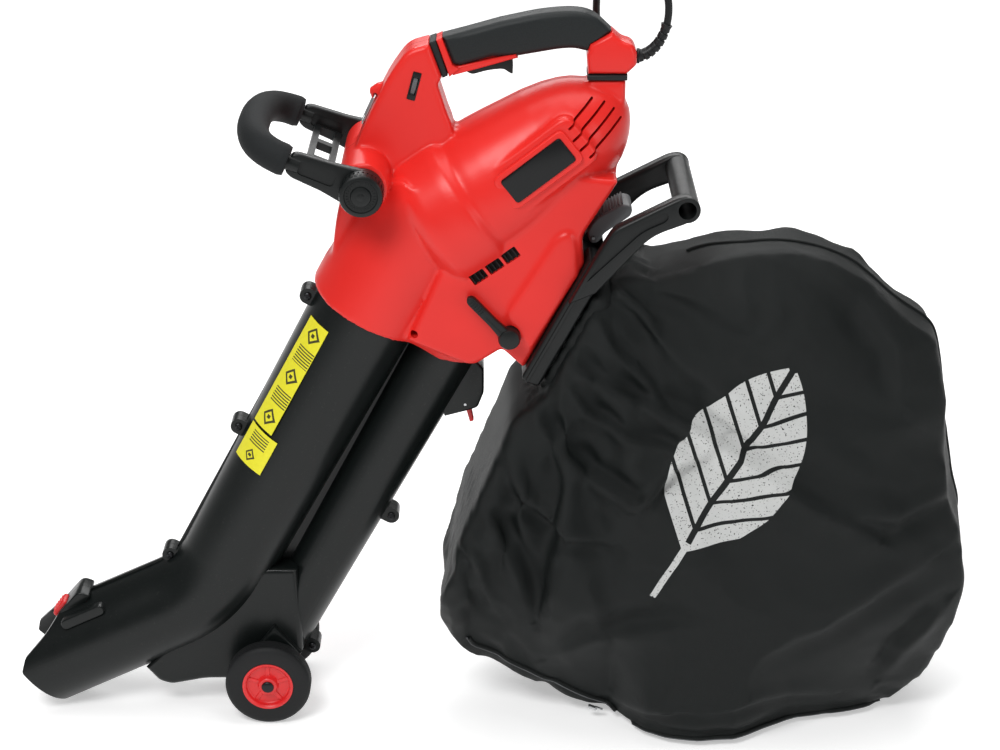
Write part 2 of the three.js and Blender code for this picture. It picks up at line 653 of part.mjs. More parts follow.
// A sticker that follows the suction tube: s along the tube, and angles round it from its front line.
function sticker(s0, s1, fromDeg, toDeg) {
  const radius = (s) => SUCTION.bend + ((SUCTION.top - SUCTION.bend) * s) / TUBE_TOP;
  const middle = (s0 + s1) / 2;
  const r0 = radius(middle) + 1.1;
  const r1 = r0 + 0.6;
  const shape = new THREE.Shape();
  const a0 = THREE.MathUtils.degToRad(fromDeg);
  const a1 = THREE.MathUtils.degToRad(toDeg);
  shape.absarc(0, 0, r1, a0, a1, false);
  shape.absarc(0, 0, r0, a1, a0, true);
  const geometry = new THREE.ExtrudeGeometry(shape, { depth: s1 - s0, bevelEnabled: false, curveSegments: 8 });
  const along = new THREE.Vector3(TUBE.dx, 0, TUBE.dz);
  const front = new THREE.Vector3(-TUBE.dz, 0, TUBE.dx);
  const side = new THREE.Vector3().crossVectors(along, front);
  geometry.applyMatrix4(new THREE.Matrix4().makeBasis(front, side, along));
  const [x, z] = at(TUBE, s0);
  geometry.translate(x, 0, z);
  return solidOf(geometry);
}

function buildStickers() {
  add("sticker_long", sticker(228, 368, 28, 60), YELLOW());
  add("sticker_short", sticker(180, 224, 26, 70), YELLOW());
}

// ---- Wheels ---------------------------------------------------------------------------------------

function buildWheels() {
  const { x, z, r, hub, inner, outer, axle } = WHEEL;
  add("axle", pin(x, z, -outer - 1, outer + 1, axle, axle, 16), STEEL());
  for (const [side, sign] of [["left", -1], ["right", 1]]) {
    const y0 = sign * inner;
    const y1 = sign * outer;
    const low = Math.min(y0, y1);
    const high = Math.max(y0, y1);
    const tyre = cut(
      join(pin(x, z, low + 4, high - 4, r, r, 24), pin(x, z, low, low + 4.1, r - 4, r, 24),
        pin(x, z, high - 4.1, high, r, r - 4, 24)),
      pin(x, z, low - 1, high + 1, hub + GAP, hub + GAP, 20),
    );
    add("tyre_" + side, tyre, RUBBER());
    const disc = join(
      cut(pin(x, z, low, high, hub, hub, 20), pin(x, z, sign < 0 ? low - 1 : low + 9, sign < 0 ? high - 9 : high + 1,
        hub - 4, hub - 4, 16)),
      pin(x, z, low, high, 10, 10, 12),
    );
    add("hub_" + side, cut(disc, pin(x, z, low - 1, high + 1, axle + 0.3)), RED());
    const cap0 = y1 + sign * GAP;
    add("axle_cap_" + side, join(pin(x, z, cap0 + sign * 1, cap0 + sign * 3, 7, 5, 16),
      cut(pin(x, z, cap0, cap0 + sign * 1.2, 7, 7, 16), pin(x, z, cap0 - sign, cap0 + sign * 1, axle + 0.3))), STEEL());
  }
}

// ---- Bag frame, latch and bag ---------------------------------------------------------------------

function buildBagFrame() {
  const depth = 22;
  const near = -GAP;
  const face = block(OUTLET, -8, 148, -depth - GAP, near, -72, 72, 4);
  const cheeks = [-1, 1].map((sign) => {
    const y0 = sign < 0 ? -84 : 66;
    return plate([at(OUTLET, 96, near - 2), at(OUTLET, 168, near - 2), [120, 606], [190, 642], [204, 641],
      [212, 627], [200, 613], [160, 598], at(OUTLET, 120, -depth)], y0, y0 + 18, 3, 1);
  });
  const frame = cut(
    join(face, ...cheeks, pin(197, 627, -84, 84, 14, 14, 20)),
    block(OUTLET, 12, 118, -depth - 5, 5, -47, 47),
    pin(197, 627, -90, 90, 9.5, 9.5, 16),
    block(OUTLET, 136, 170, -20, 5, -25, 25),
  );
  add("bag_frame", frame, BLACK());
  const tongue = [[98, 569, 3], [94, 582, 4], [103, 597, 4], [132, 614, 4], [143, 611, 4], [142, 601, 4],
    [112, 580, 4], [107, 570, 3]];
  const pivot = [101, 576];
  add("bag_latch", cut(plate(tongue, -22, 22, 2, 1), pin(...pivot, -30, 30, 2, 2, 12)), GREY());
  add("bag_latch_pin", pin(...pivot, -24.6, 24.6, 1.6, 1.6, 12), STEEL());
}

const BAG = [
  at(OUTLET, -10, -25), at(OUTLET, 122, -25), [134, 560, 14], [205, 583, 20], [262, 597, 30], [330, 597, 40],
  [400, 570, 20], [440, 527, 20], [484, 497, 12], [500, 430, 30], [512, 320, 30], [538, 240, 20], [542, 180, 30],
  [520, 70, 30], [476, 3, 20], [440, 0], [150, 0, 20], [74, 30, 20], [-30, 84, 30], [-69, 160, 30], [-52, 240, 30],
  [-6, 350, 20], [8, 390, 10],
];

// The bag is an outline in the side plane, rounded off across by a flattened ball.
function bagBlank(scale) {
  const [cx, cz] = BAG_MIDDLE;
  const corners = BAG.map(([x, z, r]) => [cx + (x - cx) * scale, cz + (z - cz) * scale, (r ?? 0) * scale]);
  const ball = new THREE.SphereGeometry(1, 16, 10);
  ball.scale(BAG_BALL * scale, BAG_HALF * 1.02 * scale, BAG_BALL * scale);
  ball.translate(cx, 0, cz);
  return plate(corners, -BAG_HALF * scale, BAG_HALF * scale).intersect(solidOf(ball));
}

function buildBag() {
  const shell = cut(bagBlank(1), bagBlank(0.985), block(OUTLET, 18, 106, -50, -20, -30, 30));
  add("collection_bag", shell, CLOTH());
  const pull = [[94.8, 15.3], [115.8, 7], [117.6, 11.7], [96.6, 20]];
  add("zip_slider", plate(pull, -64, -58), STEEL());
}

// ---- Carrying-strap ring --------------------------------------------------------------------------

function buildStrapRing() {
  const ringFrame = [[-132.5, 731], [-146.5, 701]];
  const [[x0, z0], [x1, z1]] = ringFrame;
  const bars = [
    rod([x0, -12, z0], [x0, 12, z0], 1.4, 1.4, 10),
    rod([x1, -12, z1], [x1, 12, z1], 1.4, 1.4, 10),
    rod([x0, -12, z0], [x1, -12, z1], 1.4, 1.4, 10),
    rod([x0, 12, z0], [x1, 12, z1], 1.4, 1.4, 10),
  ];
  add("strap_ring", join(...bars), STEEL());
}

buildHousing();
buildMotor();
buildHandle();
buildTrigger();
buildDial();
buildLead();
buildFrontHandle();
buildSelector();
buildTubes();
buildTubeControls();
buildStickers();
buildWheels();
buildBagFrame();
buildBag();
buildStrapRing();

export default blower;
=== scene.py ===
import math
import bmesh
import bpy
from mathutils import Matrix, Vector, noise
from mathutils.bvhtree import BVHTree


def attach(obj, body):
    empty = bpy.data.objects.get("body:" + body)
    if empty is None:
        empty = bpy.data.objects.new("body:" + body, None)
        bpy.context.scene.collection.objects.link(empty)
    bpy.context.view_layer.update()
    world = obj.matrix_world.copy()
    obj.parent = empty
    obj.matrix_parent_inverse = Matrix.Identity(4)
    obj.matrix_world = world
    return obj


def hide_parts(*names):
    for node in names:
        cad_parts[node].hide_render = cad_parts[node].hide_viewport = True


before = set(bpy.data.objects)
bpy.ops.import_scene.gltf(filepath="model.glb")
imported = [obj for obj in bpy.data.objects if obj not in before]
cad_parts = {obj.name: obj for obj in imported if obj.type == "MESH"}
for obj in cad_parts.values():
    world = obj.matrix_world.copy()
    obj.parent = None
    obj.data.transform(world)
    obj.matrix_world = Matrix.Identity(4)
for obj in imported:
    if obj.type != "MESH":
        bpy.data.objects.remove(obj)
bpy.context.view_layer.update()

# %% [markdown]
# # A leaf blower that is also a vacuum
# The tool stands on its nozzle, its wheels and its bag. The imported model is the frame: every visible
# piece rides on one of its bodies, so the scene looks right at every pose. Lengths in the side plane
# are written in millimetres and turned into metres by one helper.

scene = bpy.context.scene
MM = 0.001
SHIFT = 0.0062  # the model is centred on its box, and the outlines are drawn from the camera's axis

# %% [markdown]
# ## Places in the side plane
# Almost every shape of this tool is drawn in the side plane. A slanted line, such as the tube's or the
# motor's, gets its own frame: how far along it, how far ahead across it, and how far to the side.

# %% Points and slanted lines


def place(x, z, y=0.0):
    """A point in metres from side-plane millimetres."""
    return Vector((x * MM + SHIFT, y * MM, z * MM))


class Line:
    """A slanted line in the side plane, from a start and a direction in degrees."""

    def __init__(self, x, z, degrees):
        self.x, self.z, self.degrees = x, z, degrees
        self.dx, self.dz = math.cos(math.radians(degrees)), math.sin(math.radians(degrees))

    def flat(self, s, p=0.0):
        return self.x + s * self.dx - p * self.dz, self.z + s * self.dz + p * self.dx

    def at(self, s, p=0.0, y=0.0):
        return place(*self.flat(s, p), y)


MOTOR = Line(-45, 605, 34.5)
TUBE = Line(-336, 140, 61.5)
NOZZLE = Line(-336, 140, 205)
OUTLET = Line(26, 438, 61.8)
SWING = Line(-144, 652, 157.5)  # the front handle, from its pivot
BADGE = Line(*MOTOR.flat(106, 4), 38)
BUTTON = Line(-510, 114, 53)
BLOW_OFFSET = -97.3
print("motor axis starts at", tuple(MOTOR.at(0)))

# %% [markdown]
# ## The camera
# The tool is seen square from its left side and from a little above, with a long lens, so the camera
# only tips down. It is made first, because how far a cord may hang out of view is judged by it.

# %% Camera
camera = bpy.data.objects.new("camera", bpy.data.cameras.new("camera"))
scene.collection.objects.link(camera)
camera.location = (SHIFT, -2.3799, 1.3918)
camera.rotation_euler = (math.radians(67.5), 0, 0)
camera.data.lens = 82.8
camera.data.sensor_width = 36
scene.camera = camera
print("camera at", tuple(camera.location))

# %% [markdown]
# ## Shader sums
# A material is a graph of sockets. Written by hand, each sum takes a node and two links. A small class
# that holds a socket and knows plus, minus, times and compare lets the sum be written as in Python.

# %% A socket that can be added and multiplied


class Value:
    """One number that varies over the surface."""

    def __init__(self, graph, socket):
        self.graph, self.socket = graph, socket

    def sum(self, operation, *others):
        return self.graph.node("ShaderNodeMath", {"operation": operation}, {
            i: other for i, other in enumerate((self, *others))})

    def __add__(self, other):
        return self.sum("ADD", other)

    def __radd__(self, other):
        return self.sum("ADD", other)

    def __mul__(self, other):
        return self.sum("MULTIPLY", other)

    def __rmul__(self, other):
        return self.sum("MULTIPLY", other)

    def __sub__(self, other):
        return self.sum("SUBTRACT", other)

    def __rsub__(self, other):
        return Graph.number(self.graph, other).sum("SUBTRACT", self)

    def __lt__(self, other):
        return self.sum("LESS_THAN", other)

    def __gt__(self, other):
        return self.sum("GREATER_THAN", other)

    def __abs__(self):
        return self.sum("ABSOLUTE")

    def sine(self):
        return self.sum("SINE")

    def most(self, other):
        return self.sum("MAXIMUM", other)

    def root(self):
        return self.sum("SQRT")


class Graph:
    """A material's nodes. node() makes one of any type: its settings first, then its inputs."""

    def __init__(self, name):
        self.material = bpy.data.materials.new(name)
        self.material.use_nodes = True
        self.tree = self.material.node_tree
        self.shader = self.tree.nodes["Principled BSDF"]
        self.coordinates = self.node("ShaderNodeTexCoord", {}, {}, "Object")

    def node(self, kind, settings, inputs, output=0):
        made = self.tree.nodes.new(kind)
        for key, value in settings.items():
            if key == "stops":
                ramp = made.color_ramp.elements
                for i, (where, colour) in enumerate(value):
                    stop = ramp[i] if i < 2 else ramp.new(where)
                    stop.position, stop.color = where, colour
            else:
                setattr(made, key, value)
        for key, value in inputs.items():
            if isinstance(value, Value):
                self.tree.links.new(value.socket, made.inputs[key])
            else:
                made.inputs[key].default_value = value
        return Value(self, made.outputs[output])

    def number(self, amount):
        return self.node("ShaderNodeMath", {"operation": "ADD"}, {0: float(amount), 1: 0.0})

    def axes(self, where=None):
        source = where or self.coordinates
        return [self.node("ShaderNodeSeparateXYZ", {}, {0: source}, i) for i in range(3)]

    def stretched(self, scale, turn=(0, 0, 0), move=(0, 0, 0)):
        return self.node("ShaderNodeMapping", {}, {
            "Vector": self.coordinates, "Scale": scale, "Rotation": turn, "Location": move})

    def noise(self, scale, detail=3.0, where=None):
        return self.node("ShaderNodeTexNoise", {}, {
            "Vector": where or self.coordinates, "Scale": scale, "Detail": detail})

    def cells(self, scale, where=None):
        return self.node("ShaderNodeTexVoronoi", {}, {
            "Vector": where or self.coordinates, "Scale": scale})

    def mix(self, amount, first, second):
        """A colour between two; each is a tuple or another colour."""
        return self.node("ShaderNodeMix", {"data_type": "RGBA"}, {0: amount, 6: first, 7: second}, 2)

    def bump(self, height, depth, under=None):
        inputs = {"Height": height, "Distance": depth, "Strength": 1.0}
        if under:
            inputs["Normal"] = under
        return self.node("ShaderNodeBump", {}, inputs)

    def finish(self, **inputs):
        for key, value in inputs.items():
            socket = self.shader.inputs[key.replace("_", " ")]
            if isinstance(value, Value):
                self.tree.links.new(value.socket, socket)
            else:
                socket.default_value = value
        return self.material


def shade(colour, factor):
    """A colour made lighter or darker, ready for a socket."""
    return tuple(min(1.0, c * factor) for c in colour[:3]) + (1.0,)


print("shader helpers ready")

# %% [markdown]
# ## Moulded plastics
# Injection-moulded plastic is never one flat colour. It has a slow drift of tone, a fine grain from
# the mould, handling marks that change its gloss, and a hairline where the two shells meet on the
# middle plane. One function makes them all, with the grain and the hairline as choices.

# %% Plastic, with its grain, scuffs and the hairline between the shells


def plastic(name, colour, gloss, grain=0.00002, size=900.0, seam=False, dust=0.0, shine=0.5):
    g = Graph(name)
    g.shader.inputs["Specular IOR Level"].default_value = shine
    drift = g.noise(7.0, 4.0)
    fine = g.noise(size, 2.0)
    scuffs = g.noise(1.0, 6.0, g.stretched((60, 60, 9), (0.3, 0.5, 0)))
    colour_now = g.mix(drift, shade(colour, 0.86), shade(colour, 1.14))
    if dust:
        speck = g.noise(420.0, 3.0) > 0.66
        colour_now = g.mix(speck * dust, colour_now, (0.4, 0.38, 0.34, 1))
    rough = gloss - 0.05 + 0.12 * scuffs + 0.05 * fine
    height = fine
    if seam:
        middle = abs(g.axes()[1]) < 0.00045
        colour_now = g.mix(middle * 0.85, colour_now, shade(colour, 0.2))
        rough = rough + 0.3 * middle
        height = fine - middle * 12.0
    return g.finish(Base_Color=colour_now, Roughness=rough, Normal=g.bump(height, grain))


RED = (0.70, 0.0215, 0.0165)
BLACK = (0.0062, 0.0074, 0.0074)
red_body = plastic("red_body", RED, 0.30, 0.00003, 700, seam=True, shine=0.32)
red_small = plastic("red_button", (0.70, 0.020, 0.022), 0.32)
tube_plastic = plastic("tube_plastic", (0.0052, 0.0068, 0.0066), 0.27, 0.00002, 500, seam=True, dust=0.02,
                       shine=0.28)
black_plastic = plastic("black_plastic", BLACK, 0.34, 0.00004, 1500, shine=0.28)
gloss_black = plastic("gloss_black", (0.0040, 0.0044, 0.0048), 0.14, shine=0.25)
grey_plastic = plastic("grey_plastic", (0.10, 0.105, 0.11), 0.42, 0.00004, 1500)
# a near-black, dull plastic for the vent grilles: its colour is painted shade for the dark inside of the vents
painted_shade_black = plastic("painted_shade_black", (0.004, 0.004, 0.004), 0.8)
carbon = plastic("carbon", (0.03, 0.03, 0.03), 0.6)
print("plastics ready")

# %% [markdown]
# ## Rubber, foam and tyre
# Soft black pieces differ only in texture. The grip has a pattern of tiny raised cells, the foam has
# open pores, and the tyre and the cable are smooth with a bloom of grey.

# %% Soft blacks


def soft_black(name, colour, rough, pattern, depth, size, bloom=0.25):
    g = Graph(name)
    g.shader.inputs["Specular IOR Level"].default_value = 0.25
    drift = g.noise(16.0, 5.0)
    relief = g.cells(size) if pattern == "cells" else g.noise(size, 5.0)
    tone = g.mix(drift * bloom + relief * 0.25, shade(colour, 0.75), shade(colour, 2.1))
    return g.finish(Base_Color=tone, Roughness=rough - 0.08 + 0.16 * drift, Normal=g.bump(relief, depth))


grip_rubber = soft_black("grip_rubber", (0.0105, 0.0130, 0.0135), 0.52, "cells", 0.00010, 620)
cord_rubber = soft_black("cord_rubber", (0.010, 0.0105, 0.011), 0.42, "noise", 0.00002, 900)
foam = soft_black("foam", (0.0095, 0.0108, 0.0115), 0.78, "noise", 0.00035, 420)
tyre = soft_black("tyre", (0.0105, 0.0112, 0.0118), 0.62, "noise", 0.00008, 500)
print("rubbers ready")

# %% [markdown]
# ## Metals
# Only small metal shows: screws, the axle and its caps, pins, the strap ring and the zip pull. Brushed
# streaks are a noise pressed flat along one direction.

# %% Brushed and cast metal


def metal(name, colour, rough, streak=(600, 600, 20)):
    g = Graph(name)
    lines = g.noise(1.0, 4.0, g.stretched(streak))
    spots = g.noise(60.0, 3.0)
    tone = g.mix(spots, shade(colour, 0.8), shade(colour, 1.1))
    return g.finish(Base_Color=tone, Metallic=1.0, Roughness=rough - 0.1 + 0.25 * lines,
                    Normal=g.bump(lines, 0.00003))


steel = metal("steel", (0.58, 0.59, 0.60), 0.32)
copper = metal("copper", (0.58, 0.27, 0.12), 0.38, (40, 900, 900))
dark_steel = metal("dark_steel", (0.035, 0.036, 0.038), 0.38)
alloy = metal("alloy", (0.62, 0.63, 0.65), 0.42, (90, 90, 90))
print("metals ready")

# %% [markdown]
# ## The bag's cloth
# The bag is a coarse black polyester. Close up it is a plain weave with a slight sheen, and over it
# lies a slow pattern of dust and rubbed folds. A leaf stands for the printed graphic: two circles
# overlap in a leaf's outline, and a vein and ribs are left out of it.

# %% Cloth with a weave and a printed leaf


def cloth(name, colour, printed=False):
    g = Graph(name)
    x, y, z = g.axes()
    warp = ((x + y * 0.8) * 5200.0).sine()
    weft = ((z + y * 0.5) * 5200.0).sine()
    weave = warp * weft
    slubs = g.noise(1.0, 4.0, g.stretched((260, 260, 30)))
    drift = g.noise(9.0, 6.0)
    base = g.mix(drift, shade(colour, 0.7), shade(colour, 1.4))
    base = g.mix(slubs * 0.3, base, shade(colour, 2.0))
    rough = 0.46 + 0.16 * drift
    if printed:
        u = (x - 0.262) * 0.50 + (z - 0.345) * 0.866
        v = (z - 0.345) * 0.50 - (x - 0.262) * 0.866
        upper = (u * u + (v + 0.085) * (v + 0.085)).root()
        lower = (u * u + (v - 0.085) * (v - 0.085)).root()
        outline = (upper.most(lower) < 0.150) * ((u - abs(v) * 0.9) > -0.112)
        vein = abs(v) > 0.0035
        slant = abs(u * 1.0 - abs(v) * 0.9)
        ribs = ((slant * 190.0 + 1.2).sine() > -0.86)
        near = (y < -0.02)
        stalk = (abs(v) < 0.0035) * (u < -0.10) * (u > -0.175)
        mark = (outline * vein * ribs).most(stalk) * near
        worn = g.noise(500.0, 3.0) > 0.36
        base = g.mix(mark * worn * 0.9, base, (0.62, 0.63, 0.62, 1))
    g.shader.inputs["Specular IOR Level"].default_value = 0.22
    return g.finish(Base_Color=base, Roughness=rough, Normal=g.bump(weave + slubs * 1.5, 0.00012))


bag_cloth = cloth("bag_cloth", (0.0040, 0.0054, 0.0052), printed=True)
plain_cloth = cloth("plain_cloth", (0.0040, 0.0052, 0.0050))
print("cloth ready")

# %% [markdown]
# ## Labels
# The two yellow stickers on the tube carry only abstract marks: bars, a triangle in a frame and ruled
# lines, placed by how far a point lies along the tube and round it.

# %% Yellow film with black marks


def label(name, start, end, blocks):
    g = Graph(name)
    x, y, z = g.axes()
    first = TUBE.at(0)
    along = (x - first.x) * TUBE.dx + (z - first.z) * TUBE.dz
    across = y * -1.0
    worn = g.noise(240.0, 4.0)
    base = g.mix(worn, (0.72, 0.66, 0.018, 1), (0.86, 0.80, 0.03, 1))
    step = (end - start) / blocks
    ink = g.number(0.0)
    for i in range(blocks):
        middle = start + (i + 0.5) * step
        near = abs(along - middle)
        if i % 2 == 0:
            tip = abs(across - 0.043) * 1.5 + near
            ink = ink.most((tip < step * 0.40) * (tip > step * 0.26))
            ink = ink.most((near < step * 0.08) * (abs(across - 0.043) < 0.0016))
        else:
            lines = ((along * 1900.0).sine() > 0.1) * (near < step * 0.38)
            ink = ink.most(lines * (abs(across - 0.043) < 0.0085))
    base = g.mix(ink * 0.95, base, (0.012, 0.012, 0.012, 1))
    return g.finish(Base_Color=base, Roughness=0.32 + 0.15 * worn)


label_long = label("label_long", 0.230, 0.366, 5)
label_short = label("label_short", 0.182, 0.222, 2)
print("labels ready")

# %% [markdown]
# ## Mesh helpers
# Every hard piece starts as a bmesh. An outline in the side plane is pulled across the tool and its
# rims are rounded, a profile is spun round a slanted line, and round bars join two points. When a piece
# is closed it is written to an object at the origin, so that its place is in its mesh.

# %% Outlines, turned shapes and bars


def rounded(corners, steps=5):
    """An outline's points, where a corner [x, z, radius] becomes a short curve."""
    points = []
    flat = [Vector(corner[:2]) for corner in corners]
    for i, corner in enumerate(corners):
        here, before, after = flat[i], flat[i - 1], flat[(i + 1) % len(flat)]
        radius = corner[2] if len(corner) > 2 else 0
        if radius == 0:
            points.append(here)
            continue
        start = here.lerp(before, min(0.48, radius / (here - before).length))
        end = here.lerp(after, min(0.48, radius / (here - after).length))
        for k in range(steps + 1):
            t = k / steps
            points.append(start * (1 - t) ** 2 + here * 2 * t * (1 - t) + end * t * t)
    return points


def slab(bm, corners, y0, y1, rim=0.0, segments=3):
    """Pulls an outline across the tool from y0 to y1 and rounds both its rims."""
    verts = [bm.verts.new(place(p.x, p.y, y0)) for p in rounded(corners)]
    face = bm.faces.new(verts)
    pulled = bmesh.ops.extrude_face_region(bm, geom=[face])
    moved = [v for v in pulled["geom"] if isinstance(v, bmesh.types.BMVert)]
    bmesh.ops.translate(bm, verts=moved, vec=(0, (y1 - y0) * MM, 0))
    made = set(verts) | set(moved)
    bmesh.ops.recalc_face_normals(bm, faces=[f for f in bm.faces if made.issuperset(f.verts)])
    if rim:
        rims = [e for e in bm.edges if made.issuperset(e.verts)
                and abs(e.verts[0].co.y - e.verts[1].co.y) < 1e-7]
        bmesh.ops.bevel(bm, geom=rims, offset=rim * MM, segments=segments, profile=0.5,
                        affect="EDGES", material=-1, clamp_overlap=True)


def slant_slab(bm, line, s0, s1, p0, p1, y0, y1, rim=0.0, segments=3, radius=0.0):
    corners = [line.flat(s, p) for s, p in ((s0, p0), (s1, p0), (s1, p1), (s0, p1))]
    slab(bm, [(x, z, radius) for x, z in corners], y0, y1, rim, segments)


def bar(bm, start, end, r0, r1=None, sides=48):
    """A round bar between two points in metres, with radii in millimetres."""
    r1 = r0 if r1 is None else r1
    way = end - start
    turn = way.to_track_quat("Z", "Y").to_matrix().to_4x4()
    bmesh.ops.create_cone(bm, cap_ends=True, segments=sides, radius1=r0 * MM, radius2=r1 * MM,
                          depth=way.length, matrix=Matrix.Translation((start + end) / 2) @ turn)


def cross_bar(bm, x, z, y0, y1, r0, r1=None, sides=48):
    bar(bm, place(x, z, y0), place(x, z, y1), r0, r1, sides)


def spun(bm, profile, origin, direction, sides=64, squeeze=1.0):
    """Spins a profile of (along, radius) in millimetres round a direction from a point."""
    along = direction.normalized()
    up = along.cross(Vector((0, 1, 0)))
    up = up.normalized() if up.length > 0.1 else Vector((0, 0, 1))
    verts = [bm.verts.new(origin + along * (s * MM) + up * (r * MM)) for s, r in profile]
    edges = [bm.edges.new(pair) for pair in zip(verts, verts[1:])]
    made = bmesh.ops.spin(bm, geom=verts + edges, cent=origin, axis=along, steps=sides,
                          angle=math.tau, use_merge=True)
    bmesh.ops.remove_doubles(bm, verts=bm.verts, dist=1e-6)
    if squeeze != 1.0:
        for v in bm.verts:
            v.co.y *= squeeze
    return made


def line_direction(line):
    return Vector((line.dx, 0, line.dz))


ACROSS = Vector((0, 1, 0))
print("mesh helpers ready")

# %% [markdown]
# ## From mesh to piece
# A finished mesh gets outward normals, smooth shading with crisp edges kept, a material and a body to
# ride on. Joining and cutting solids is left to the Boolean modifier, and a moulded body whose parts
# melt into each other is fused by a fine voxel remesh and smoothed.

# %% Objects, joins and cuts


def solid(name, bm, smooth_angle=40.0):
    bmesh.ops.remove_doubles(bm, verts=bm.verts, dist=1e-6)
    bmesh.ops.recalc_face_normals(bm, faces=bm.faces)
    mesh = bpy.data.meshes.new(name)
    bm.to_mesh(mesh)
    bm.free()
    mesh.shade_smooth()
    mesh.set_sharp_from_angle(angle=math.radians(smooth_angle))
    made = bpy.data.objects.new(name, mesh)
    scene.collection.objects.link(made)
    return made


def applied(obj, kind, smooth_angle=40.0, **settings):
    """Adds one modifier, keeps its result as the object's own mesh, and removes it."""
    change = obj.modifiers.new(kind.lower(), kind)
    for key, value in settings.items():
        setattr(change, key, value)
    seen = bpy.context.evaluated_depsgraph_get()
    seen.update()
    mesh = bpy.data.meshes.new_from_object(obj.evaluated_get(seen))
    obj.modifiers.clear()
    old, obj.data = obj.data, mesh
    mesh.name = obj.name
    bpy.data.meshes.remove(old)
    mesh.shade_smooth()
    mesh.set_sharp_from_angle(angle=math.radians(smooth_angle))
    return obj


def combine(obj, others, operation, smooth_angle=40.0):
    for other in others:
        applied(obj, "BOOLEAN", smooth_angle, object=other, operation=operation, solver="MANIFOLD")
        bpy.data.objects.remove(other)
    return obj


def fused(obj, voxel, rounds, smooth_angle=180.0):
    """Melts overlapping closed shapes into one skin and softens it."""
    applied(obj, "REMESH", smooth_angle, mode="VOXEL", voxel_size=voxel * MM, use_smooth_shade=True)
    applied(obj, "SMOOTH", smooth_angle, factor=0.5, iterations=rounds)
    return obj


def piece(obj, body, material, replaces=()):
    obj.data.materials.clear()
    obj.data.materials.append(material)
    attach(obj, body)
    if replaces:
        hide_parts(*replaces)
    print(f"{obj.name}: {len(obj.data.polygons)} faces on {body}")
    return obj


def finish_node(node, material):
    """Gives a CAD node that stays its procedural material."""
    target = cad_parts[node]
    for slot in target.material_slots:
        slot.material = material


print("piece helpers ready")

# %% [markdown]
# ## The mains lead
# A rubber cable leaves the boot at the back of the handle, arches up and over under its own stiffness and hangs
# behind the motor with its plug. It is one open curve with a round section. Cords come first, because how far
# they hang out of view depends on the camera.

# %% Lead, boot and plug
LEAD_ROUTE = [
    (176, 0, 806), (177.4, 1, 818), (176.5, 3.5, 832), (171, 7, 847), (161, 12, 859), (147, 18, 866),
    (132, 24, 866), (119, 29, 859), (109, 34, 847), (104, 38.5, 832), (103, 43, 815), (104, 48, 795),
    (106, 55, 772), (108, 63, 748), (108, 72, 722), (106, 81, 696), (102, 89, 670), (97, 96, 644),
    (91, 101, 622), (87, 104, 606),
]
lead_points = [place(x, z, y) for x, y, z in LEAD_ROUTE]


def smooth_curve(name, points, thickness, resolution=8):
    """One open curve through the points, with easy handles, as thick as told."""
    curve = bpy.data.curves.new(name, "CURVE")
    curve.dimensions = "3D"
    spline = curve.splines.new("BEZIER")
    spline.bezier_points.add(len(points) - 1)
    for i, (knot, point) in enumerate(zip(spline.bezier_points, points)):
        before, after = points[max(i - 1, 0)], points[min(i + 1, len(points) - 1)]
        way = (after - before).normalized()
        knot.co = point
        knot.handle_left = point - way * (point - before).length / 3
        knot.handle_right = point + way * (after - point).length / 3
    curve.resolution_u = resolution
    curve.bevel_depth = thickness / 2
    curve.bevel_resolution = 5
    curve.use_fill_caps = True
    made = bpy.data.objects.new(name, curve)
    scene.collection.objects.link(made)
    return made


lead = smooth_curve("mains_lead_cable", lead_points, 0.008)
lead.data.materials.append(cord_rubber)
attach(lead, "tool")
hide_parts("mains_lead")
plug_start = lead_points[-1]
plug_way = Vector((-4, 3, -16)).normalized()


def plug_mesh():
    bm = bmesh.new()
    profile = [(0.4, 0), (0.4, 4.8), (1.5, 5.4)]
    for i in range(4):
        s, r = 3 + 3.6 * i, 5.6 + 0.9 * i
        profile += [(s, r), (s + 1.8, r + 0.3), (s + 2.2, r - 0.9), (s + 3.2, r - 0.9)]
    profile += [(18, 9.6), (20, 12.6), (24, 14.6), (34, 16.4), (37.5, 17.2), (48, 17.2), (50, 16.2), (50, 0)]
    spun(bm, profile, plug_start, plug_way, 40)
    for side in (-9.5, 9.5):
        a = plug_start + plug_way * 0.047 + ACROSS * side * MM
        spun(bm, [(0, 0), (0, 2.4), (19.5, 2.4), (21.5, 1.2), (21.5, 0)], a, plug_way, 20)
    return bm


plug = piece(solid("plug_body", plug_mesh(), 35), "tool", cord_rubber, ["mains_plug"])


def boot_mesh():
    """A flange, then a tapered sleeve in rings that bends up to the flare at the cable."""
    path = [(147, 772), (153, 773.6), (158, 776.4), (163, 780.6), (167.4, 786), (171, 792.4), (173.8, 799),
            (175.6, 805.4)]
    bm = bmesh.new()
    bar(bm, place(144.7, 772), place(147.4, 772), 8.2)
    bar(bm, place(130, 772), place(147, 772), 4.8)
    for i, (a, b) in enumerate(zip(path, path[1:])):
        radius = 7.0 - 0.28 * i
        start, end = place(*a), place(*b)
        way = end - start
        bar(bm, start - way * 0.15, start + way * 0.62, radius, radius - 0.3, 32)
        bar(bm, start - way * 0.1, end + way * 0.1, radius - 1.5, radius - 1.6, 32)
    bar(bm, place(174.6, 802.4), place(175.9, 806.2), 5.4, 6.4, 32)
    return bm


boot = piece(fused(solid("boot_sleeve", boot_mesh()), 0.5, 2), "tool",
    cord_rubber, ["lead_boot"])

# %% [markdown]
# ## The red housing
# The real housing is two shells whose volumes melt into each other: the motor barrel, the fan casing,
# the strut to the handle, the outlet box and the skirt round the tubes. Each volume is easy alone, so
# they are made as overlapping closed shapes, melted by a voxel remesh, and softened. Sockets, vents and
# slots are cut afterwards, so that they stay crisp.

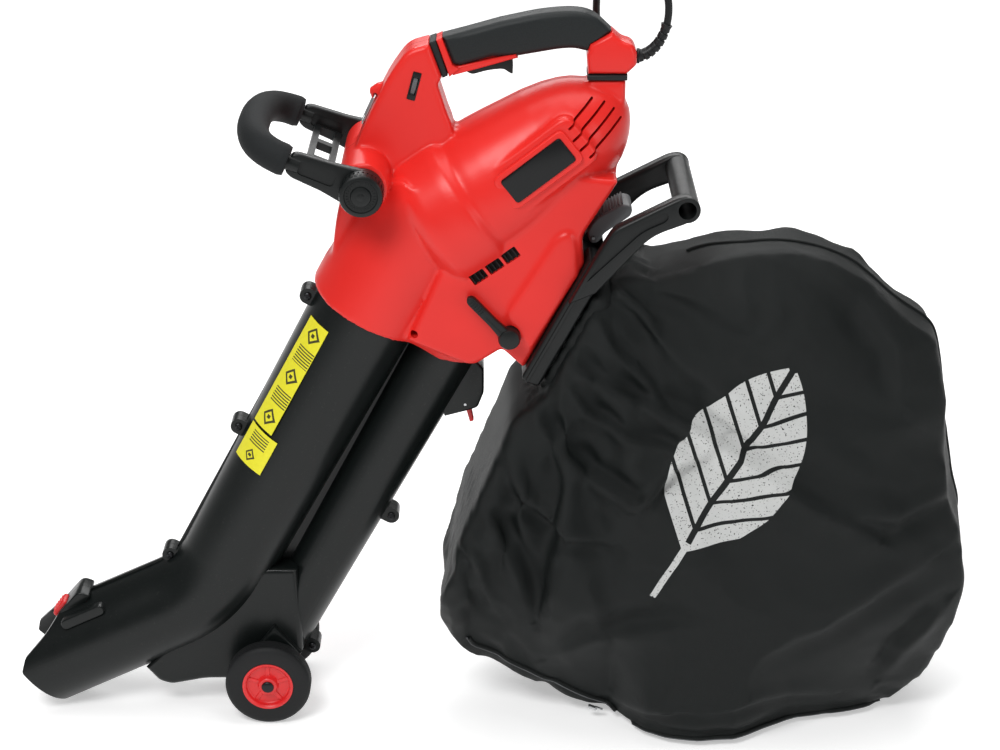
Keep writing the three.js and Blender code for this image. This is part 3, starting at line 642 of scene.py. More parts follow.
# %% The housing's volumes
STRUT = [
    (-74.5, 790), (-97, 784, 10), (-118, 756, 20), (-150, 690, 20), (-176, 606, 20), (-184, 545),
    (-120, 545), (-45, 620), (-50, 700, 6), (-56, 716), (-66, 748, 4), (-61, 752.5),
]
OUTLET_BOX = [
    (-30, 440, 10), (2, 461, 4), (26, 438), OUTLET.flat(136), (88, 590, 6), (126, 652), (60, 660),
    (-60, 560), (-100, 470),
]
SKIRT = [
    (-184, 556, 6), (-201, 541, 8), (-204, 522, 4), (-128, 462, 30), (-66, 441, 20), (-24, 441, 6),
    (-10, 470), (40, 560), (-60, 660), (-150, 640),
]
BARREL = [
    (20, 0), (20, 74), (24, 76.5), (40, 77), (60, 76), (80, 74), (104, 71), (128, 68), (150, 63.2),
    (167, 57.5), (179, 51.5), (190, 43.5), (199, 35), (207, 25), (213, 14), (216, 0),
]
FAN_CASING = [
    (-46, 0), (-46, 60), (-43, 68), (-36, 77), (-28, 82.5), (-18, 84), (10, 84), (20, 83), (27, 78), (32, 0),
]
SOCKET = 61.6  # radius of the hole for the suction tube


def column():
    """The lower skirt: round at the suction tube, narrower at the blow tube, trimmed to its outline."""
    bm = bmesh.new()
    bar(bm, TUBE.at(395), TUBE.at(560), 68, sides=72)
    made = solid("column", bm)
    parts = []
    bm = bmesh.new()
    slant_slab(bm, TUBE, 395, 560, BLOW_OFFSET - 30, 0, -52, 52, 14)
    parts.append(solid("column_block", bm))
    bm = bmesh.new()
    bar(bm, TUBE.at(395, BLOW_OFFSET), TUBE.at(560, BLOW_OFFSET), 47)
    parts.append(solid("column_blow", bm))
    combine(made, parts, "UNION")
    bm = bmesh.new()
    slab(bm, SKIRT, -90, 90)
    return combine(made, [solid("column_trim", bm)], "INTERSECT")


def housing_volumes():
    bm = bmesh.new()
    slab(bm, STRUT, -26, 26, 9, 4)
    slab(bm, OUTLET_BOX, -60, 60, 8, 3)
    spun(bm, FAN_CASING, MOTOR.at(0), line_direction(MOTOR), 96)
    spun(bm, BARREL, MOTOR.at(0), line_direction(MOTOR), 96)
    cross_bar(bm, -144, 652, -85, 85, 27)
    slab(bm, [(94, 700), (133, 700), (133, 749.5), (94, 749.5)], -19, 19, 5)
    for y in (-70.5, 52):
        slant_slab(bm, BADGE, -62, 60, -31, 29, y, y + 18.5, 3.5, 3, 14)
    slab(bm, [(-140, 736), (-128, 744), (-124, 728), (-133, 718)], -6, 6, 1.5)
    slab(bm, [(4, 500, 14), (34, 462), OUTLET.flat(125), (78, 596, 16), (62, 592, 14)], -64, 64, 2.5)
    skirt = column()
    bm.from_mesh(skirt.data)
    bpy.data.objects.remove(skirt)
    return solid("housing_shell", bm)


housing = fused(housing_volumes(), 2.4, 5)
print("housing skin", len(housing.data.polygons), "faces")

# %% [markdown]
# ### Cuts in the housing
# The tubes plug into two sockets, the fan blows out through three vents, the motor breathes through
# four slots on each side, and small windows take the speed wheel, the selector's shaft and a screw.

# %% Sockets, vents, slots and windows
VENTS = Line(-23, 545, 35)
SLOTS = Line(84.5, 723.5, -45)
SLOT_HALF = (18, 24, 26, 24)
DIAL = Line(-90.5, 746, 75)


def cutter(name, build):
    bm = bmesh.new()
    build(bm)
    return solid(name, bm)


def sockets(bm):
    bar(bm, TUBE.at(370), TUBE.at(452), SOCKET, SOCKET, 72)


def blow_socket(bm):
    bar(bm, TUBE.at(370, BLOW_OFFSET), TUBE.at(452, BLOW_OFFSET), 40.6, 40.6, 56)


def web_socket(bm):
    slant_slab(bm, TUBE, 370, 452, BLOW_OFFSET + 30, -46, -30, 30)


def vent_holes(bm):
    for side in (-1, 1):
        for i in range(3):
            s = 21 * i
            low, high = sorted((side * 49, side * 100))
            slant_slab(bm, VENTS, s - 9, s + 9, -6.5, 6.5, low, high, radius=1.5)


def slot_holes(bm):
    for side in (-1, 1):
        low, high = sorted((side * 22, side * 90))
        for i, half in enumerate(SLOT_HALF):
            slot = Line(*SLOTS.flat(12.5 * i), 43.5)
            slant_slab(bm, slot, -half, half, -1.5, 1.5, low, high, radius=1.4)


def small_holes(bm):
    slant_slab(bm, DIAL, -15.5, 15.5, -4.6, 4.6, -40, 0, radius=1.0)
    cross_bar(bm, -93, 478, -90, -40, 4.2)


def shaft_hole(bm):
    cross_bar(bm, 10, 477, -80, 53, 5.8)


def selector_seat(bm):
    """A flat round seat, so that the selector's hub turns clear of the shell."""
    cross_bar(bm, 10, 477, -90, -59.8, 13.2, 13.2, 48)


def ring_bore(bm):
    cross_bar(bm, -132.5, 731, -14, 14, 2.3, 2.3, 20)


def outlet_hole(bm):
    slant_slab(bm, OUTLET, 12, 118, -8, 14, -44, 44, radius=6)


for name, build in (("socket", sockets), ("blow_socket", blow_socket), ("web_socket", web_socket),
                    ("vents", vent_holes), ("slots", slot_holes), ("holes", small_holes),
                    ("shaft", shaft_hole), ("seat", selector_seat), ("ring_bore", ring_bore),
                    ("outlet", outlet_hole)):
    combine(housing, [cutter(name, build)], "DIFFERENCE", 38)
piece(housing, "tool", red_body, ["housing_left", "housing_right"])

# %% [markdown]
# ### What sits on the housing
# A blank gloss plate in a raised frame stands where a name would be. Behind the vents sits a ribbed grille; its
# near-black, dull colour is painted shade that stands for the dark inside of the vents and covers the closed
# floors of their pockets. The outlet is bordered by a strip that the bag frame meets.

# %% Badge, its frame and the grilles


def badge():
    bm = bmesh.new()
    slant_slab(bm, BADGE, -39, 39, -15, 15, -76.8, -73, 0.7, 3, 4)
    return solid("badge_blank", bm)


def badge_frame():
    """A raised border with a window for the plate."""
    bm = bmesh.new()
    slant_slab(bm, BADGE, -46, 46, -21, 21, -75, -60, 1.6, 3, 8)
    frame_piece = solid("badge_border", bm)
    bm = bmesh.new()
    slant_slab(bm, BADGE, -39.4, 39.4, -15.4, 15.4, -80, -73.5, radius=4)
    return combine(frame_piece, [solid("badge_window", bm)], "DIFFERENCE")


def grille(side):
    bm = bmesh.new()
    y = side * 52
    slant_slab(bm, VENTS, -12, 54, -9, 9, min(y, y + side * 2), max(y, y + side * 2))
    for i in range(12):
        s = -8 + 5.4 * i
        slant_slab(bm, VENTS, s, s + 1.2, -8, 8, min(y, y + side * 6), max(y, y + side * 6))
    return solid("vent_grille_" + ("left" if side < 0 else "right"), bm)


piece(badge(), "tool", gloss_black, ["badge_plate"])
piece(badge_frame(), "tool", red_body)
# the grilles' near-black colour is painted shade over the closed floors of the vent pockets
for side in (-1, 1):
    piece(grille(side), "tool", painted_shade_black)

# %% [markdown]
# ## The twin tubes
# Two moulded halves are screwed together along the middle plane. They hold a wide suction tube that
# bends into the nozzle, a narrow blow tube behind it, and the valley between. Round bars are joined with
# exact Booleans, so that the long highlights stay clean, and the bore is cut from the whole.

# %% Tube bodies
TOE = [
    (-228, 76), (-246, 42, 8), (-262, 34, 8), (-285, 36, 8), (-343, 36, 8), (-384, 28, 6), (-398, 33, 4),
    (-413, 51), (-372, 92), (-300, 180), (-232, 180),
]
MOUTH = [
    (-505, 0), (-553, 55, 3), (-549, 71, 3), (-526, 96, 6), (-509, 119, 6), (-488, 143, 6), (-440, 200),
    (-300, 260), (-200, 140), (-240, -20), (-505, -20),
]
CRADLE = [
    (-549, 71), (-526, 96, 6), (-509, 119, 8), (-488, 143, 8), (-474, 137, 4), (-496, 100), (-512, 80),
    (-536, 58),
]
LOCK_BLOCK = [(-62, 363), (-36, 370, 3), (-25, 374, 3), (-18, 392, 3), (-18, 420, 3), (-30, 434, 3),
    (-80, 420)]
LUGS = ((380, 64.5), (203, 62.5), (20, 61), (186, -140), (-8, -137))


def suction_bar(thinner, sides=96):
    """The suction tube and the nozzle, one round section swept through a soft elbow."""
    top = 450 if thinner else 445
    spine = [(TUBE.at(top), 60.0)]
    enter, corner, leave = TUBE.at(48), TUBE.at(0), NOZZLE.at(48)
    for i in range(15):
        t = i / 14
        spine.append((enter.lerp(corner, t).lerp(corner.lerp(leave, t), t), 54.5))
    spine.append((NOZZLE.at(250), 55.5))
    bm = bmesh.new()
    rings = []
    for i, (centre, radius) in enumerate(spine):
        before, after = spine[max(0, i - 1)][0], spine[min(len(spine) - 1, i + 1)][0]
        up = (after - before).normalized().cross(ACROSS)
        turns = [2 * math.pi * k / sides for k in range(sides)]
        reach = (radius - thinner) * MM
        rings.append([bm.verts.new(centre + (ACROSS * math.cos(a) + up * math.sin(a)) * reach) for a in turns])
    for a, b in zip(rings, rings[1:]):
        for k in range(sides):
            bm.faces.new((a[k], a[(k + 1) % sides], b[(k + 1) % sides], b[k]))
    bm.faces.new(rings[0])
    bm.faces.new(reversed(rings[-1]))
    bmesh.ops.recalc_face_normals(bm, faces=bm.faces)
    return solid("suction", bm, 25)


def blow_bar(thinner):
    top = 450 if thinner else 445
    return cutter("blow", lambda bm: bar(bm, TUBE.at(-10, BLOW_OFFSET), TUBE.at(top, BLOW_OFFSET),
                                         33 - thinner, 39 - thinner, 72))


def tube_extras():
    """Toe, valley, lugs, seam rib, lock block and the button's cradle, each its own closed shape."""
    made = [
        cutter("toe", lambda bm: slab(bm, TOE, -36, 36, 7, 4)),
        cutter("web", lambda bm: slant_slab(bm, TUBE, -20, 445, BLOW_OFFSET + 30, -48, -7, 7)),
        cutter("lock_block", lambda bm: slab(bm, LOCK_BLOCK, -18, 18, 2.5)),
        cutter("cradle", lambda bm: slab(bm, CRADLE, -20, 20, 1.5)),
        cutter("axle_boss", lambda bm: cross_bar(bm, -267, 49, -46, 46, 11)),
        cutter("axle_bridge", lambda bm: slab(
            bm, [(-300, 60), (-262, 36, 4), (-248, 40, 4), (-230, 75), (-260, 110)], -44, 44, 4)),
        cutter("front_rib", lambda bm: slant_slab(bm, TUBE, 12, 442, 50, 57.5, -1.6, 1.6, 0.5)),
        cutter("nozzle_rib", lambda bm: slant_slab(bm, NOZZLE, 10, 172, -57.2, -50, -1.6, 1.6, 0.5)),
        cutter("pad", lambda bm: slant_slab(bm, NOZZLE, 112, 166, -50, -38, -43, -30, 1.4, 3, 6)),
    ]
    for s, p in LUGS:
        x, z = TUBE.flat(s, p)
        made.append(cutter("lug", lambda bm, x=x, z=z: cross_bar(bm, x, z, -12, 12, 9, 9, 32)))
        arm = p - 14 if p > 0 else p + 14
        low, high = sorted((p, arm))
        made.append(cutter("lug_foot", lambda bm, s=s, low=low, high=high: slant_slab(
            bm, TUBE, s - 9, s + 9, low, high, -12, 12)))
    return made


tubes = combine(suction_bar(0), [blow_bar(0), *tube_extras()], "UNION", 32)
print("tube blank", len(tubes.data.polygons), "faces")

# %% Bores, mouth and holes


def mouth_keep():
    keep = cutter("mouth_keep", lambda bm: slab(bm, MOUTH, -90, 90))
    above = cutter("above", lambda bm: slant_slab(bm, TUBE, -40, 600, -300, 300, -90, 90))
    return combine(keep, [above], "UNION")


def toe_bore():
    inner = [(-232, 80), (-246, 54), (-300, 42), (-343, 40), (-380, 33), (-420, 20), (-430, 62), (-385, 92),
             (-300, 160), (-240, 150)]
    hollow = cutter("toe_bore", lambda bm: slab(bm, inner, -31, 31, 5))
    return combine(hollow, [suction_bar(-0.5, 48)], "DIFFERENCE")


combine(tubes, [mouth_keep()], "INTERSECT", 32)
tube_cuts = [
    suction_bar(3.5),
    blow_bar(3.2),
    toe_bore(),
    cutter("axle_hole", lambda bm: cross_bar(bm, -267, 49, -60, 60, 4.4)),
    cutter("lever_slot", lambda bm: slab(bm, [(-50, 355), (-28, 355), (-28, 385), (-50, 385)], -5.3, 5.3)),
    cutter("button_seat", lambda bm: slant_slab(bm, BUTTON, -12, 12, -7.6, 20, -12, 12, radius=2)),
    cutter("lock_pin_hole", lambda bm: cross_bar(bm, -39, 377, -20, 20, 1.9, 1.9, 16)),
]
for s, p in LUGS:
    x, z = TUBE.flat(s, p)
    tube_cuts.append(cutter("screw_hole", lambda bm, x=x, z=z: cross_bar(bm, x, z, -20, 20, 2.5, 2.5, 16)))
    tube_cuts.append(cutter("screw_seat", lambda bm, x=x, z=z: cross_bar(bm, x, z, 9, 20, 4.6, 4.6, 6)))
combine(tubes, tube_cuts, "DIFFERENCE", 32)
tubes.name = "twin_tube"
piece(tubes, "tool", tube_plastic, ["tube_left", "tube_right"])

# %% [markdown]
# ### Screws, button and lever on the tubes
# The seam lugs take pan-head screws with a cross recess. The red button sits in a cradle above the
# nozzle, and a small red lever hangs under the housing to unlock the tubes.

# %% Screws, button and lever


def screw(i, s, p):
    x, z = TUBE.flat(s, p)
    bm = bmesh.new()
    spun(bm, [(0, 0), (0, 2.1), (23, 2.1), (23, 0)], place(x, z, -13), ACROSS, 20)
    made = solid("screw_shank", bm)
    bm = bmesh.new()
    spun(bm, [(0, 0), (0, 2.0), (0.5, 3.4), (1.2, 4.2), (2.6, 4.3), (2.6, 0)], place(x, z, -15), ACROSS, 32)
    combine(made, [solid("screw_head", bm)], "UNION")
    for turn in (0, 90):
        cross = Line(x, z, 30 + turn)
        combine(made, [cutter("recess", lambda bm: slant_slab(bm, cross, -2.4, 2.4, -0.5, 0.5, -16, -13.6))],
                "DIFFERENCE", 30)
    made.name = f"lug_screw_{i}"
    return made


for i, (s, p) in enumerate(LUGS, 1):
    piece(screw(i, s, p), "tool", dark_steel, [f"tube_screw_{i}"])


def nozzle_button():
    """A domed cap with finger ridges on a narrower stem."""
    bm = bmesh.new()
    slant_slab(bm, BUTTON, -11, 11, -1.5, 6.6, -11, 11, 2.6, 5, 5)
    slant_slab(bm, BUTTON, -7, 7, -3, 0, -7, 7, 0.5)
    for i in range(4):
        s = -6.6 + 4.4 * i
        slant_slab(bm, BUTTON, s - 0.9, s + 0.9, 5.6, 7.6, -7.5, 7.5, 0.7, 3, 0.6)
    return solid("nozzle_release", bm, 35)


def lock_lever():
    bm = bmesh.new()
    slab(bm, [(-45, 372, 2), (-40, 382, 4), (-33, 378, 4), (-33, 372, 2), (-29.5, 352, 1.5),
        (-34, 350.5, 1.5),
              (-38, 366, 3)], -4.6, 4.6, 1.2)
    lever = solid("tube_unlock", bm, 35)
    return combine(lever, [cutter("lever_bore", lambda bm: cross_bar(bm, -39, 377, -8, 8, 1.9, 1.9, 20))],
                   "DIFFERENCE", 35)


piece(nozzle_button(), "nozzle_button", red_small, ["nozzle_button"])
piece(lock_lever(), "tube_lock_lever", red_small, ["tube_lock_lever"])
finish_node("sticker_long", label_long)
finish_node("sticker_short", label_short)

# %% [markdown]
# ## Wheels
# Each wheel is a ribbed black tyre on a red hub with a sunken face, faint spokes and a dark cap on the
# axle's end. Tyre and hub are profiles spun round the axle. The tread's grooves are cut from the rim.

# %% Tyre, hub, axle and caps
WHEEL = (-267, 49)
SPOKES = 5


def tyre_piece(side, low):
    bm = bmesh.new()
    profile = [(0.6, 29.3), (0.2, 31), (0.2, 43), (1.2, 46), (3.6, 48.4), (5.2, 49)]
    for i in range(4):
        s = 6.4 + 3.4 * i
        profile += [(s, 49), (s + 0.3, 47.6), (s + 1.3, 47.6), (s + 1.6, 49)]
    profile += [(19.8, 49), (21.4, 48.4), (23.8, 46), (24.8, 43), (24.8, 31), (24.4, 29.3), (0.6, 29.3)]
    spun(bm, profile, place(*WHEEL, low), ACROSS, 96)
    return solid("tyre_" + side, bm, 35)


def hub_piece(side, low, outward):
    """A dished disc: a rim, a sunken face with raised spokes, and a collar round the axle."""
    face = [(0, 4.4), (0, 29), (25, 29), (25, 27.2), (23.6, 25.4), (19.5, 24.4), (18.6, 23.2), (18.6, 12.5),
            (20.5, 11), (24.4, 10.4), (25, 9.8), (25, 4.4), (0, 4.4)]
    if outward < 0:
        face = [(25 - s, r) for s, r in face]
    bm = bmesh.new()
    spun(bm, face, place(*WHEEL, low), ACROSS, 72)
    made = solid("hub_" + side, bm, 35)
    y0, y1 = (low + 17, low + 20) if outward > 0 else (low + 5, low + 8)
    for i in range(SPOKES):
        spoke = Line(*WHEEL, 90 + 360 * i / SPOKES)
        part = cutter("spoke", lambda bm: slant_slab(bm, spoke, 10, 24.8, -2.4, 2.4, y0, y1, 0.8))
        combine(made, [part], "UNION", 35)
    return made


def cap_piece(side, outward):
    start = place(*WHEEL, outward * 75.3)
    bm = bmesh.new()
    spun(bm, [(0, 0), (0, 6.8), (0.7, 7), (1.6, 6.4), (2.4, 4.4), (2.9, 0)], start, ACROSS * outward, 40)
    return solid("axle_cap_" + side + "_dome", bm, 50)


for side, outward in (("left", -1), ("right", 1)):
    low = 50 if outward > 0 else -75
    body = "wheel_" + side
    tyre_obj = tyre_piece(side, low)
    tyre_obj.name = "tyre_tread_" + side
    hub_obj = hub_piece(side, low, outward)
    hub_obj.name = "hub_dish_" + side
    piece(tyre_obj, body, tyre, ["tyre_" + side])
    piece(hub_obj, body, red_small, ["hub_" + side])
    piece(cap_piece(side, outward), "tool", dark_steel, ["axle_cap_" + side])

# %% [markdown]
# ## The front handle
# A plastic yoke swings round the two clamp knobs. Its arms run along the housing, a web with an oval
# hole ties them together, and a foam sleeve covers the bow in front. The bow and its sleeve are curves
# with a round section, and the sleeve swells a little towards its ends.

# %% Yoke, foam and knobs


def bow_points(start):
    spine = [(start, 91), (88, 90.6), (98, 88.4), (108, 82.5), (116, 73), (122, 59), (126, 40), (128, 20)]
    there = [SWING.at(d, 0, y) for d, y in spine]
    middle = [SWING.at(128.3, 0, 0)]
    back = [Vector((p.x, -p.y, p.z)) for p in reversed(there)]
    return there + middle + back


def swept(name, points, radius_at, sides=10):
    """A round bar along points, made a mesh, with a radius in millimetres at each point."""
    made = smooth_curve(name, points, 0.002, 6)
    made.data.bevel_resolution = sides
    for i, knot in enumerate(made.data.splines[0].bezier_points):
        knot.radius = radius_at(i / (len(points) - 1))
    seen = bpy.context.evaluated_depsgraph_get()
    mesh = bpy.data.meshes.new_from_object(made.evaluated_get(seen))
    bpy.data.objects.remove(made)
    bm = bmesh.new()
    bm.from_mesh(mesh)
    bpy.data.meshes.remove(mesh)
    return solid(name, bm, 50)


def yoke_arm(y0):
    outline = [SWING.flat(4, -22), SWING.flat(34, -17), SWING.flat(76, -13.5), SWING.flat(82, -10),
               SWING.flat(82, 10), SWING.flat(74, 14), SWING.flat(40, 16), SWING.flat(4, 22)]
    bm = bmesh.new()
    slab(bm, [(x, z, 4) for x, z in outline], y0, y0 + 11, 2.2, 3)
    arm = solid("arm", bm)
    disc = cutter("ear", lambda b: spun(b, [(0, 0), (0, 21.5), (1.5, 23), (9.5, 23), (11, 21.5), (11, 0)],
                                        place(-144, 652, y0), ACROSS, 64))
    combine(arm, [disc], "UNION", 35)
    for low in (y0 - 1, y0 + 9.4):
        pocket = cutter("pocket", lambda b: slant_slab(b, SWING, 30, 70, -7, 7.5, low, low + 2.6, radius=5))
        combine(arm, [pocket], "DIFFERENCE", 35)
    return arm


def yoke():
    made = yoke_arm(-96.3)
    web = cutter("web", lambda bm: slant_slab(bm, SWING, 33, 64, 3.5, 12, -88, 88, 2.5))
    for y in (-58, 0, 58):
        half = 22 if y else 24
        hole = cutter("oval", lambda bm: slant_slab(bm, SWING, 40, 57, -5, 20, y - half, y + half))
        combine(web, [hole], "DIFFERENCE", 35)
    combine(made, [yoke_arm(85.3), web], "UNION", 35)
    combine(made, [swept("bow", bow_points(70), lambda t: 9.0)], "UNION", 35)
    bolt = cutter("bolt", lambda bm: cross_bar(bm, -144, 652, -120, 120, 4.6, 4.6, 24))
    combine(made, [bolt], "DIFFERENCE", 35)
    made.name = "yoke_arms"
    return made


def sleeve_radius(t):
    edge = min(t, 1 - t)
    swell = 1.3 * math.exp(-(edge / 0.05) ** 2)
    return 17.0 + swell - (2.5 if edge < 1e-6 else 0)


def foam_sleeve():
    made = swept("foam_sleeve", bow_points(83), sleeve_radius, 14)
    core = swept("core", bow_points(70), lambda t: 9.7)
    return combine(made, [core], "DIFFERENCE", 50)


def knob(name, outward):
    """A round knob with a skirt of grip flutes and a ring of small ribs on its face."""
    base = outward * 96.9
    profile = [(0, 4.4), (0, 22.4), (0.8, 23.4), (13, 23.4), (16.2, 22.2), (17.6, 20), (17.6, 17.8),
        (16.4, 17),
               (16.4, 11.2), (18.4, 10.2), (19, 8.6), (19, 4.4), (0, 4.4)]
    bm = bmesh.new()
    spun(bm, profile, place(-144, 652, base), ACROSS * outward, 96)
    made = solid(name, bm, 35)
    flutes = bmesh.new()
    ribs = bmesh.new()
    for i in range(30):
        spoke = Line(-144, 652, 360 * i / 30)
        low, high = sorted((base + outward * 4, base + outward * 15.4))
        slant_slab(flutes, spoke, 22.5, 25, -0.8, 0.8, low, high)
        low, high = sorted((base + outward * 15, base + outward * 17.2))
        slant_slab(ribs, spoke, 13, 16, -0.55, 0.55, low, high)
    combine(made, [solid("flutes", flutes)], "DIFFERENCE", 35)
    combine(made, [solid("ribs", ribs)], "UNION", 35)
    end = cutter("end", lambda b: spun(b, [(14, 0), (14, 5.4), (18.6, 5.2), (19, 4.4), (19, 0)],
                                       place(-144, 652, base), ACROSS * outward, 32))
    return combine(made, [end], "UNION", 35)


piece(yoke(), "front_handle", black_plastic, ["front_handle_yoke"])
sleeve = piece(foam_sleeve(), "front_handle", foam, ["foam_grip"])
piece(knob("clamp_knob_left", -1), "knob_left", black_plastic, ["knob_left"])
piece(knob("clamp_knob_right", 1), "knob_right", black_plastic, ["knob_right"])

# %% [markdown]
# ## The bow handle
# The grip is a soft sleeve over a red core: the core shows as a collar in front, a thin strip round the
# trigger and a knuckle behind. Rubber rings part it from the housing. Outlines in the side plane with
# large round rims give the hand-sized section.

# %% Grip, core, rings and trigger
GRIP = [
    (-60.5, 795.5), (-32, 803), (0, 812), (42, 821, 14), (76, 824, 14), (98, 820, 12), (117, 802),
    (92, 780), (78, 783.5, 8), (62, 782.5, 8), (19, 775), (-8, 774.5), (-42, 764.5), (-50, 766.5),
]
CORE = [
    (-61, 789.4), (-32, 798.4), (0, 807.4), (42, 816.3, 12), (76, 819.3, 12), (92, 816.3, 8), (109, 801),
    (107, 794.5), (96, 786.6), (80, 787.6, 8), (62, 786.6, 10), (19, 778.6), (19, 760), (-70, 745),
]
COLLAR = [(-67, 792.3), (-61, 795.2), (-50, 766), (-42, 762), (-53.5, 753)]
KNUCKLE = [
    (118, 801), (128, 792, 3), (140, 788, 5), (144.2, 779, 3), (144.2, 766, 3), (138, 760, 4), (133.5, 756),
    (93, 756), (91.5, 776.5), (94.5, 788.7),
]


def grip_sleeve():
    """Round along its length, with a row of shallow ribs under the fingers."""
    bm = bmesh.new()
    slab(bm, GRIP, -17, 17, 7.5, 6)
    made = solid("grip_sleeve", bm, 35)
    cuts = [
        cutter("core", lambda b: slab(b, CORE, -9, 9)),
        cutter("front", lambda b: slab(b, [(-80, 800), (-60.6, 800), (-60.6, 795.5), (-49.5, 766.8),
            (-46, 764.5),
                                           (17.5, 778.6), (17.5, 740), (-80, 740)], -30, 30)),
        cutter("rear", lambda b: slab(b, [(119, 802.5), (94.1, 789.4), (91.1, 776.6), (91, 750), (150, 750),
                                          (150, 802.5)], -30, 30)),
    ]
    combine(made, cuts, "DIFFERENCE", 35)
    ribs = bmesh.new()
    for i in range(9):
        x = 26 + 6 * i
        slab(ribs, [(x, 760), (x + 1.6, 760), (x + 1.6, 785 - 0.04 * i), (x, 785 - 0.04 * i)], -11, 11)
    groove = [(19, 776.2), (62, 783.7), (76, 784.4), (76, 790), (19, 784)]
    under = cutter("under", lambda b: slab(b, groove, -20, 20))
    ribs = combine(solid("rib_blank", ribs), [under], "DIFFERENCE", 35)
    return combine(made, [ribs], "DIFFERENCE", 35)


def handle_core():
    bm = bmesh.new()
    slab(bm, COLLAR, -17, 17, 2.2, 3)
    made = solid("handle_core", bm)
    parts = [
        cutter("knuckle", lambda b: slab(b, KNUCKLE, -19, 19, 6, 4)),
        cutter("spine", lambda b: slab(
            b, [(x, z - 0.4) for x, z, *_ in CORE[:6]] + [
                (107.5, 801), (92, 786), (80, 787.9), (62, 787), (19, 779.2), (19, 772), (0, 767.5),
                (-32, 758.5),
                (-52, 754)], -8.6, 8.6)),
        cutter("strip", lambda b: slab(b, [(-50, 754), (-32, 759), (0, 768), (17, 773), (17, 778),
            (-46, 764)],
                                       -14.5, 14.5, 1.8)),
    ]
    combine(made, parts, "UNION", 35)
    cuts = [
        cutter("bay", lambda b: slab(b, [(-46, 745), (18, 758), (18, 796), (-10, 796),
            (-46, 786)], -8.2, 8.2)),
        cutter("pin_hole", lambda b: cross_bar(b, -38, 764, -11, 11, 1.8, 1.8, 20)),
        cutter("lead_hole", lambda b: bar(b, place(125, 772), place(160, 772), 5.6, 5.6, 24)),
    ]
    return combine(made, cuts, "DIFFERENCE", 35)


def ring_piece(name, outline, half):
    """A soft ring: an outline pulled across the tool, with rounded rims."""
    bm = bmesh.new()
    slab(bm, outline, -half, half, 1.6, 3)
    return solid(name, bm, 35)


def trigger_piece():
    bm = bmesh.new()
    slab(bm, [(-42, 761, 3), (-42, 768, 3), (-20, 772, 3), (8, 778, 3), (14, 768, 4), (13.5, 754, 1.5),
        (9, 756, 3),
              (4, 760, 5), (-12, 758.6, 8), (-30, 753.5, 4)], -7.6, 7.6, 2.2, 4)
    made = solid("trigger_blade", bm, 35)
    return combine(made, [cutter("bore", lambda b: cross_bar(b, -38, 764, -12, 12, 1.9, 1.9, 20))],
        "DIFFERENCE", 35)


piece(grip_sleeve(), "tool", grip_rubber, ["grip_cover"])
piece(handle_core(), "tool", red_body, ["handle_left", "handle_right"])
piece(ring_piece("front_ring", [(-74.2, 790.3), (-67.6, 792.6), (-55.2, 754.8), (-60.7, 752.3)], 18), "tool",
      grip_rubber, ["isolator_front"])
piece(ring_piece("rear_ring", [(92.5, 750), (134.5, 750), (134.5, 755.7), (92.5, 755.7)], 20), "tool",
      grip_rubber, ["isolator_rear"])
piece(trigger_piece(), "trigger", black_plastic, ["trigger"])

# %% [markdown]
# ## Speed wheel and selector
# The speed wheel is a knurled disc that peeps through a window with black ends. The selector is a long
# lever with a ribbed tip and a round hub on the shaft of the flap.

# %% Speed wheel, its window and the selector
DIAL_AXIS = Vector((math.cos(math.radians(165)), 0, math.sin(math.radians(165))))


def speed_wheel():
    centre = place(-90.5, 746, -15.2)
    bm = bmesh.new()
    spun(bm, [(-2.5, 2.4), (-2.5, 12.6), (-1.9, 13.6), (1.9, 13.6), (2.5, 12.6), (2.5, 2.4), (-2.5, 2.4)],
         centre, DIAL_AXIS, 72)
    made = solid("speed_wheel", bm, 35)
    teeth = bmesh.new()
    side = DIAL_AXIS.cross(ACROSS).normalized()
    for i in range(36):
        angle = math.tau * i / 36
        out = side * math.cos(angle) + ACROSS * math.sin(angle)
        a = centre + out * 0.0138
        bar(teeth, a - DIAL_AXIS * 0.004, a + DIAL_AXIS * 0.004, 0.62, 0.62, 8)
    return combine(made, [solid("teeth", teeth)], "DIFFERENCE", 35)


def window_frame():
    bm = bmesh.new()
    slant_slab(bm, DIAL, -15.2, 15.2, -4.3, 4.3, -27.2, -25.6, 0.5, 2, 1)
    made = solid("dial_window", bm, 35)
    return combine(made, [cutter("gap", lambda b: slant_slab(b, DIAL, -9.6, 9.6, -3.1, 3.1, -40, -10))],
                   "DIFFERENCE", 35)


def selector():
    lever = Line(10, 477, 133)
    bm = bmesh.new()
    slab(bm, [lever.flat(0, -7) + (2,), lever.flat(26, -5), lever.flat(62, -5.2) + (4,), lever.flat(66, 0) + (3,),
              lever.flat(62, 5.2) + (4,), lever.flat(26, 5), lever.flat(0, 7) + (2,)], -73, -64.6, 1.8, 3)
    made = solid("selector_arm", bm, 35)
    hub = cutter("hub", lambda b: spun(b, [(0, 0), (0, 11.4), (0.8, 12), (11, 12), (14, 10.6),
        (15, 8.6), (15, 0)],
                                       place(10, 477, -60.3), -ACROSS, 56))
    combine(made, [hub], "UNION", 35)
    ribs = bmesh.new()
    for i in range(6):
        s = 42 + 3.2 * i
        slant_slab(ribs, lever, s, s + 1.2, -4, 4, -73.8, -72.2, 0.4)
    combine(made, [solid("ribs", ribs)], "UNION", 35)
    arrow = cutter("arrow", lambda b: slant_slab(b, lever, 12, 36, -1, 1, -76, -72.4))
    combine(made, [arrow], "DIFFERENCE", 35)
    shaft = cutter("shaft", lambda b: cross_bar(b, 10, 477, -72, -58, 5.3, 5.3, 32))
    return combine(made, [shaft], "DIFFERENCE", 35)


piece(speed_wheel(), "speed_dial", grey_plastic, ["speed_dial"])
piece(window_frame(), "tool", black_plastic)
piece(selector(), "mode_selector", black_plastic, ["selector_lever"])

